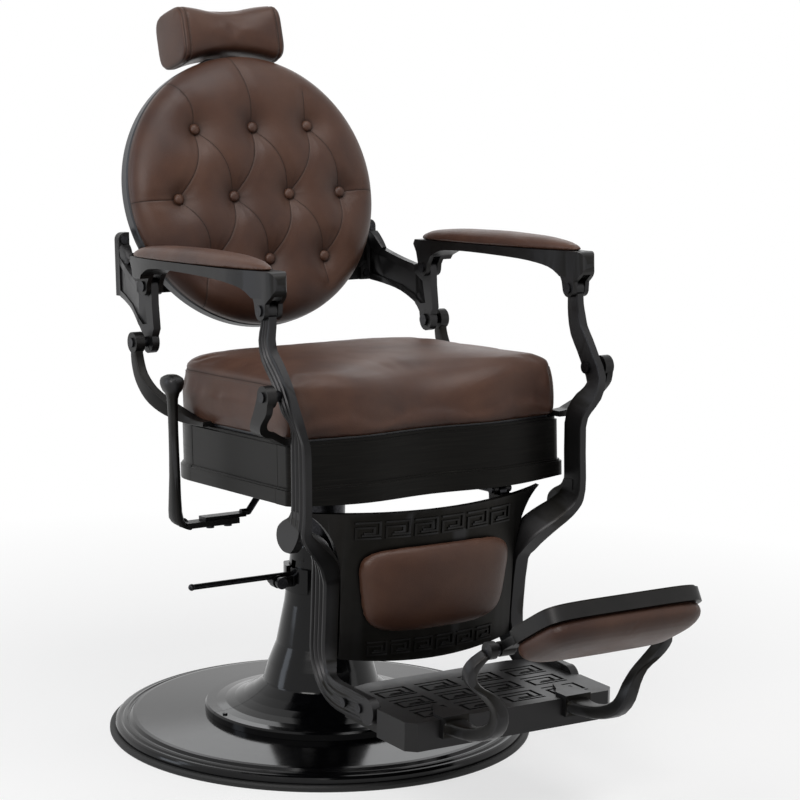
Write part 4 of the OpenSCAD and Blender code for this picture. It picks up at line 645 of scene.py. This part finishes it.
def pleatLines():
    rows = [[Vector((x, z)) for x in row] for z, row in backPad["rows"]]
    radius = backPad["radius"] - 0.0005

    def slack(a, b, bow):
        side = Vector((a.y - b.y, b.x - a.x)).normalized()
        return [a.lerp(b, t) + side * bow * math.sin(math.pi * t) for t in np.linspace(0, 1, 19)]

    lines = [slack(a, b, backPad["slack"]) for upper, lower in zip(rows, rows[1:]) for a in upper for b in lower
             if (a - b).length < backPad["neighbour"]]
    for a, x, bow in zip(rows[0], (-0.138, -0.020, 0.106), (-0.010, -0.006, 0.002)):
        rim = Vector((x, math.sqrt(radius ** 2 - x ** 2)))
        lines.append(slack(a, a.lerp(rim, 1 if x < 0.1 else 0.55), bow))
    for a, x, bow in zip(rows[2], (-0.126, -0.006, 0.112), (-0.006, 0.004, -0.003)):
        rim = Vector((x, -math.sqrt(radius ** 2 - x ** 2)))
        lines.append(slack(a, a.lerp(rim, 1 if x < 0.1 else 0.6), bow))
    for a in (rows[1][0], rows[1][-1]):
        lines.append(slack(a, Vector((math.copysign(radius, a.x), a.y + 0.001)), 0.001))
    return lines


def backDepth(points):
    radius = np.linalg.norm(points, axis=1)
    edge = np.clip(radius / backPad["radius"], 0, 1)
    crown = backPad["crown"] * np.sqrt(np.clip(1 - edge ** 4.2, 0, 1))
    buttons = np.array([(x, z) for z, row in backPad["rows"] for x in row])
    toButton = np.min(np.linalg.norm(points[:, None, :] - buttons[None], axis=2), axis=1)
    toPleat = nearestTo(points, pleatLines())
    inside = np.clip((backPad["radius"] - radius) / backPad["edgeBand"], 0, 1)
    sink = sum(backPad["tuft"] * np.exp(-(np.linalg.norm(points - b, axis=1) / backPad["tuftReach"]) ** 1.5)
               for b in buttons)
    sink += backPad["pleat"] * np.clip(1 - (toPleat / backPad["pleatReach"]) ** 2, 0, 1) ** 3 * (0.25 + 0.75 * inside)
    sink += backPad["crease"] * np.exp(-(toPleat / backPad["creaseReach"]) ** 2) * (0.5 + 0.5 * inside)
    return np.maximum(crown - sink * (0.3 + 0.7 * inside), 0.002 * inside), toButton, toPleat


def buildBack():
    bm = bmesh.new()
    bmesh.ops.create_grid(bm, x_segments=backPad["steps"], y_segments=backPad["steps"], size=1.0)
    x, y = np.array([(v.co.x, v.co.y) for v in bm.verts]).T
    wide = np.abs(x) >= np.abs(y)
    ratio = np.where(wide, y / np.where(wide, np.where(x == 0, 1, x), 1.0), x / np.where(wide, 1.0, y))
    turn = np.where(wide, ratio * math.pi / 4, math.pi / 2 - ratio * math.pi / 4)
    reach = np.where(wide, x, y) * backPad["radius"]
    points = np.stack((reach * np.cos(turn), reach * np.sin(turn)), axis=1)
    depth, toButton, toPleat = backDepth(points)
    for v, p, d in zip(bm.verts, points, depth):
        v.co = (p[0], -d, p[1])
    # painted shade: darker along the pleat creases, in the button wells, in a broad halo round each button and on the
    # rim's wall
    (line, lineReach), (well, wellReach) = backPad["lineShade"], backPad["wellShade"]
    halo, haloReach = backPad["haloShade"]
    fold = np.maximum(line * np.exp(-(toPleat / lineReach) ** 2), well * np.exp(-(toButton / wellReach) ** 4))
    fold = np.maximum(fold, halo * np.exp(-(toButton / haloReach) ** 2))
    flat = np.column_stack((points[:, 0], np.zeros(len(points)), points[:, 1]))
    lines = [[(p.x, 0, p.y) for p in line] for line in pleatLines()]
    side = offsetFrom(flat, np.tile((0.0, -1.0, 0.0), (len(flat), 1)), lines)[1]
    rim = [e for e in bm.edges if e.is_boundary]
    wall = [g for g in bmesh.ops.extrude_edge_only(bm, edges=rim)["geom"] if isinstance(g, bmesh.types.BMVert)]
    for v in wall:
        v.co = (v.co.x * 0.985, 0.0024, v.co.z * 0.985)
    bmesh.ops.holes_fill(bm, edges=[e for e in bm.edges if e.is_boundary], sides=0)
    more = len(wall)
    return (bm, np.append(fold, np.full(more, backPad["rimShade"])), np.append(toPleat, np.full(more, 1.0)),
            np.append(side, np.ones(more)))


backMesh, backPaintedShade, backGap, backSide = buildBack()
backPiece = finishPiece("backLeather", backMesh, backFrame, leather, "back", ("back_cushion",))
# painted shade in the dimples and folds, and thin dark painted-shade lines along the pleat creases
paintShade(backPiece, backPaintedShade)
paintCrease(backPiece, backGap, backSide)
print("back cushion:", len(backPiece.data.vertices), "points")

# buttons: leather pulled over a domed mould, its edge gathered underneath
buttonLook = {"profile": ((0.0078, 0.0040), (0.0090, 0.0014), (0.0096, -0.0006), (0.0094, -0.0022),
                          (0.0085, -0.0040), (0.0062, -0.0056), (0.0032, -0.0065), (0.0, -0.0068)),
              "steps": 28, "proud": 0.0035, "tilt": 1.25}


def buildButtons():
    whole = bmesh.new()
    for z, row in backPad["rows"]:
        for x in row:
            depth = float(backDepth(np.array([(x, z)]))[0][0])
            one = bmesh.new()
            line = [one.verts.new((r, y, 0)) for r, y in buttonLook["profile"]]
            edges = [one.edges.new(pair) for pair in zip(line, line[1:])]
            bmesh.ops.spin(one, geom=line + edges, cent=(0, 0, 0), axis=(0, 1, 0), angle=2 * math.pi,
                           steps=buttonLook["steps"], use_merge=True)
            bmesh.ops.remove_doubles(one, verts=one.verts, dist=1e-5)
            bmesh.ops.holes_fill(one, edges=[e for e in one.edges if e.is_boundary], sides=0)
            tilt = (Matrix.Rotation(-buttonLook["tilt"] * z, 4, "X")
                    @ Matrix.Rotation(-buttonLook["tilt"] * x, 4, "Z"))
            one.transform(Matrix.Translation((x, -depth - buttonLook["proud"], z)) @ tilt)
            mesh = bpy.data.meshes.new("button")
            one.to_mesh(mesh)
            one.free()
            whole.from_mesh(mesh)
            bpy.data.meshes.remove(mesh)
    return whole


buttonPiece = finishPiece("leatherButtons", buildButtons(), backFrame, leather, "back", ("back_buttons",))
paintShade(buttonPiece, [0.0] * len(buttonPiece.data.vertices))


# headrest: a saddle in its top and its face, flared ends closed by sewn panels
headPad = {"half": 0.0985, "rear": 0.0915, "face": -0.0155, "low": 0.2185, "high": 0.3270, "arch": 0.2425,
           "archHalf": 0.085, "dip": 0.0105, "hollow": 0.006, "panelSeam": 0.0965, "innerSeam": 0.0865,
           "stitching": 0.0845, "roundY": 0.52, "roundZ": 0.46}


def headLow(x):
    # the underside follows the back's rim
    return max(math.sqrt(headPad["arch"] ** 2 - min(abs(x), headPad["archHalf"]) ** 2), headPad["low"])


def headPoint(x, c, s, middle, half):
    return (x, middle[0] + math.copysign(abs(c) ** headPad["roundY"], c) * half[0],
            middle[1] + math.copysign(abs(s) ** headPad["roundZ"], s) * half[1])


def buildHeadrest():
    rings = []
    places = [(-1.0, 0.90), (-0.992, 0.945), (-0.972, 0.975), (-0.94, 0.995), (-0.90, 1.0)]
    places += [(u, 1.0) for u in np.linspace(-0.84, 0.84, 29)]
    places += [(-u, k) for u, k in reversed(places[:5])]
    for u, k in places:
        x = u * headPad["half"]
        bend = math.cos(math.pi * u / 2) ** 2
        low = headLow(x)
        high = headPad["high"] - headPad["dip"] * bend
        face = headPad["face"] + headPad["hollow"] * bend
        middle = ((face + headPad["rear"]) / 2, (low + high) / 2)
        half = ((headPad["rear"] - face) / 2 * k, (high - low) / 2 * k)
        turns = [2 * math.pi * (i + 0.5) / 56 for i in range(56)]
        rings.append([headPoint(x, math.cos(t), math.sin(t), middle, half) for t in turns])
    return loft(rings)


headPuff = {"voxel": 0.004, "pressure": 2, "cap": 0.0025, "smooth": 7,
            "held": lambda p: p[2] < 0.222 or (p[2] < 0.246 and abs(p[0]) < 0.07)}
headPiece = finishPiece("headrestLeather", puff(buildHeadrest(), headPuff), backFrame, leather, "headrest",
                        ("headrest_pad",))


def headSeam(x):
    low = headLow(x)
    middle = ((headPad["face"] + headPad["rear"]) / 2, (low + headPad["high"]) / 2)
    half = ((headPad["rear"] - headPad["face"]) / 2, (headPad["high"] - low) / 2)
    turns = [2 * math.pi * i / 60 for i in range(61)]
    return [backFrame @ Vector(headPoint(x, math.cos(t), math.sin(t), middle, half)) for t in turns]


sew("headrestThread", headPiece, [headSeam(s * headPad["stitching"]) for s in (-1, 1)],
    [headSeam(s * headPad[k]) for s in (-1, 1) for k in ("panelSeam", "innerSeam")], "headrest", sewing)
print("headrest:", len(headPiece.data.vertices), "points")

# calf pad: a pillow on the bowed panel's face
calfPad = {"low": 0.042, "high": 0.176, "half": 0.132, "flare": 0.010, "bow": 0.026, "bowRadius": 0.5366, "gap": 0.0005,
           "steps": ((0.0, 0.0030), (-0.0008, 0.0070), (0.0, 0.0110), (0.0028, 0.0148), (0.0075, 0.0180),
                     (0.014, 0.0205), (0.023, 0.0226), (0.034, 0.0240), (0.046, 0.0248), (0.056, 0.0252))}


def calfBow(x):
    return calfPad["bowRadius"] - calfPad["bow"] - np.sqrt(calfPad["bowRadius"] ** 2 - x ** 2)


def buildCalf():
    mid, tall = (calfPad["low"] + calfPad["high"]) / 2, (calfPad["high"] - calfPad["low"]) / 2
    rings = []
    flatInset, flatDepth = calfPad["steps"][-1]
    stages = [(0, calfPad["gap"], k / 8) for k in range(1, 9)] + [(i, d, 1) for i, d in calfPad["steps"]]
    stages += [(flatInset, flatDepth + 0.0003 * (1 - k), k) for k in (0.8, 0.6, 0.4, 0.2)]
    for inset, depth, share in stages:
        ring = []
        for i in range(96):
            t = 2 * math.pi * (i + 0.5) / 96
            c, s = math.cos(t), math.sin(t)
            c, s = math.copysign(abs(c) ** 0.42, c) * share, math.copysign(abs(s) ** 0.42, s) * share
            x = c * (calfPad["half"] - inset + calfPad["flare"] * s)
            ring.append((x, calfBow(x) - depth, mid + s * (tall - inset)))
        rings.append(ring)
    return loft(rings)


def calfLimit(p):
    p[:, 1] = np.minimum(p[:, 1], calfBow(p[:, 0]) - calfPad["gap"])
    return p


calfPuff = {"voxel": 0.004, "pressure": 3, "cap": 0.004, "held": lambda p: p[1] > calfBow(p[0]) - 0.004,
            "limit": calfLimit}
finishPiece("calfLeather", puff(buildCalf(), calfPuff), panelFrame, leather, "leg_frame", ("calf_pad",))

# footrest pad: fills the open side of its tray and bellies out below it
footPad = {"front": -0.154, "rear": -0.014, "half": 0.137, "round": 0.36,
           "steps": ((0.062, -0.0425), (0.048, -0.0420), (0.034, -0.0402), (0.022, -0.0368), (0.013, -0.0318),
                     (0.007, -0.0260), (0.0045, -0.0200), (0.004, -0.0135), (0.006, -0.0080), (0.0092, -0.0062),
                     (0.0092, 0.0045))}


def trayRing(inset, z):
    middle, deep = (footPad["front"] + footPad["rear"]) / 2, (footPad["rear"] - footPad["front"]) / 2
    ring = []
    for i in range(96):
        t = 2 * math.pi * (i + 0.5) / 96
        c, s = math.cos(t), math.sin(t)
        c, s = math.copysign(abs(c) ** footPad["round"], c), math.copysign(abs(s) ** footPad["round"], s)
        ring.append((c * (footPad["half"] - inset), middle + s * (deep - inset), z))
    return ring


def buildFootrest():
    return loft([trayRing(inset, z) for inset, z in footPad["steps"]])


footPuff = {"voxel": 0.004, "pressure": 3, "cap": 0.003, "held": lambda p: p[2] > -0.008}
finishPiece("footrestLeather", puff(buildFootrest(), footPuff), flipFrame, leather, "footrest",
            ("footrest_pad",))

# arm pads: a long round point at the front, full in the middle, blunt at the rear
armPad = {"front": -0.344, "rear": 0.101, "half": 0.029, "crown": 0.023, "top": 0.8103, "frontX": 0.283, "rearX": 0.278,
          "plan": ((0, 0.1), (0.01, 0.3), (0.04, 0.47), (0.12, 0.7), (0.28, 0.92), (0.5, 1), (0.75, 0.95),
                   (0.92, 0.78), (0.975, 0.6), (0.993, 0.42), (1, 0.16)),
          "rise": ((0, 0.12), (0.01, 0.3), (0.05, 0.55), (0.2, 0.86), (0.45, 1), (0.75, 0.95), (0.92, 0.74),
                   (0.985, 0.45), (1, 0.14))}


def eased(table, u):
    # the table's value, softened over a stretch that narrows towards its ends
    places, values = zip(*table)
    span = min(0.05, u, 1 - u)
    return float(np.mean(np.interp([u + span * k / 4 for k in range(-4, 5)], places, values)))


def buildArmPad(side):
    rings = []
    for i in range(64, -1, -1):
        u = 0.5 - 0.5 * math.cos(math.pi * i / 64)
        y = armPad["front"] + (armPad["rear"] - armPad["front"]) * u
        wide, tall = armPad["half"] * eased(armPad["plan"], u), armPad["crown"] * eased(armPad["rise"], u)
        x = armPad["frontX"] + (armPad["rearX"] - armPad["frontX"]) * u
        ring = [(side * (x + s * wide), y, armPad["top"]) for s in (-0.93, -0.5, 0, 0.5, 0.93)]
        for k in range(0, 21):
            t = math.pi * k / 20
            c, s = math.cos(t), math.sin(t)
            out = math.copysign(abs(c) ** 0.72, c) * wide
            ring.append((side * (x + out), y, armPad["top"] + tall * (0.1 + 0.9 * s ** 0.8)))
        rings.append(ring)
    return loft(rings)


def armLimit(p):
    p[:, 2] = np.maximum(p[:, 2], armPad["top"])
    return p


armPuff = {"voxel": 0.003, "pressure": 1.5, "cap": 0.0018, "held": lambda p: p[2] < armPad["top"] + 0.003,
           "limit": armLimit}
for side, name in ((-1, "left"), (1, "right")):
    finishPiece("armLeather" + name.capitalize(), puff(buildArmPad(side), armPuff), seatFrame, leather,
                "arm_" + name, ("arm_pad_" + name,))
print("pads done")


# ---- stage and light ----
def seenStraight(tree):
    # 1 where the camera, a reflection or glass looks at the backdrop, 0 where it only lights the chair
    path = addNode(tree, "ShaderNodeLightPath").outputs
    seen = path["Is Camera Ray"]
    for kind in ("Is Glossy Ray", "Is Transmission Ray"):
        seen = addNode(tree, "ShaderNodeMath", links={0: seen, 1: path[kind]}, operation="MAXIMUM").outputs[0]
    return seen


floorLook = {"bounce": 0.42, "seen": 0.95, "shareNear": 0.70, "near": 0.55, "far": 1.7}


def makeStage(look):
    bm = bmesh.new()
    bmesh.ops.create_grid(bm, x_segments=1, y_segments=1, size=14)
    mesh = bpy.data.meshes.new("floor")
    bm.to_mesh(mesh)
    bm.free()
    floor = bpy.data.objects.new("floor", mesh)
    material = bpy.data.materials.new("paleFloor")
    material.use_nodes = True
    tree = material.node_tree
    shader = tree.nodes["Principled BSDF"]
    shader.inputs["Roughness"].default_value = 0.9
    coords = addNode(tree, "ShaderNodeTexCoord").outputs["Object"]
    seen = seenStraight(tree)
    bounce = addNode(tree, "ShaderNodeMixRGB", {"Color1": grey(look["bounce"]), "Color2": grey(look["seen"])},
                     {"Fac": seen})
    tree.links.new(bounce.outputs["Color"], shader.inputs["Base Color"])
    glow = addNode(tree, "ShaderNodeEmission", {"Color": (1, 1, 1, 1), "Strength": 1.0})
    away = addNode(tree, "ShaderNodeVectorMath", links={0: coords}, operation="LENGTH")
    clear = addNode(tree, "ShaderNodeMapRange",
                    {"From Min": look["near"], "From Max": look["far"], "To Min": look["shareNear"], "To Max": 1.0},
                    {"Value": away.outputs["Value"]})
    share = addNode(tree, "ShaderNodeMath", links={0: seen, 1: clear.outputs["Result"]}, operation="MULTIPLY")
    mixed = addNode(tree, "ShaderNodeMixShader", links={0: share.outputs[0], 1: shader.outputs[0], 2: glow.outputs[0]})
    tree.links.new(mixed.outputs[0], tree.nodes["Material Output"].inputs["Surface"])
    mesh.materials.append(material)
    scene.collection.objects.link(floor)


def makeWorld(look):
    # a dim room that brightens a little behind the chair
    world = bpy.data.worlds.new("studio")
    world.use_nodes = True
    tree = world.node_tree
    plain = tree.nodes["Background"]
    plain.inputs["Color"].default_value = look["tint"]
    way = addNode(tree, "ShaderNodeTexCoord").outputs["Generated"]
    split = addNode(tree, "ShaderNodeSeparateXYZ", links={0: way})
    level = addNode(tree, "ShaderNodeMapRange",
                    {"From Min": -0.3, "From Max": 0.9, "To Min": look["front"], "To Max": look["behind"]},
                    {"Value": split.outputs["Y"]}, interpolation_type="SMOOTHSTEP")
    tree.links.new(level.outputs["Result"], plain.inputs["Strength"])
    white = addNode(tree, "ShaderNodeBackground", {"Color": (1, 1, 1, 1), "Strength": 1.0})
    mixed = addNode(tree, "ShaderNodeMixShader",
                    links={0: seenStraight(tree), 1: plain.outputs[0], 2: white.outputs[0]})
    tree.links.new(mixed.outputs[0], tree.nodes["World Output"].inputs["Surface"])
    scene.world = world


softBoxes = {
    "key": {"place": (-2.9, -1.9, 2.9), "aim": (0, -0.1, 0.7), "size": (1.8, 1.8), "power": 84,
            "tint": (1.0, 0.98, 0.96)},
    "top": {"place": (0.1, -0.9, 3.5), "aim": (0, -0.1, 0.6), "size": (2.4, 1.6), "power": 50,
            "tint": (1.0, 0.99, 0.98)},
    "fill": {"place": (2.6, -3.0, 1.6), "aim": (0, 0, 0.6), "size": (1.2, 2.2), "power": 6,
             "tint": (1.0, 1.0, 1.0)},
    "edgeLeft": {"place": (-3.1, 1.5, 1.4), "aim": (0, 0, 0.6), "size": (0.9, 2.4), "power": 22,
                 "tint": (0.80, 0.88, 1.0)},
    "behind": {"place": (1.9, 3.0, 1.95), "aim": (0, 0, 0.9), "size": (2.2, 1.2), "power": 8,
               "tint": (0.96, 0.98, 1.0)},
}


def makeLights(boxes):
    for name, box in boxes.items():
        data = bpy.data.lights.new(name, "AREA")
        data.shape = "RECTANGLE"
        data.size, data.size_y = box["size"]
        data.energy = box["power"]
        data.color = box["tint"]
        lamp = bpy.data.objects.new(name, data)
        towards = Vector(box["aim"]) - Vector(box["place"])
        lamp.matrix_world = Matrix.Translation(box["place"]) @ towards.to_track_quat("-Z", "Y").to_matrix().to_4x4()
        scene.collection.objects.link(lamp)


makeStage(floorLook)
makeWorld({"tint": (0.88, 0.94, 1.0, 1), "front": 0.03, "behind": 0.12})
makeLights(softBoxes)
scene.view_settings.view_transform = "Standard"
print("stage and lights")
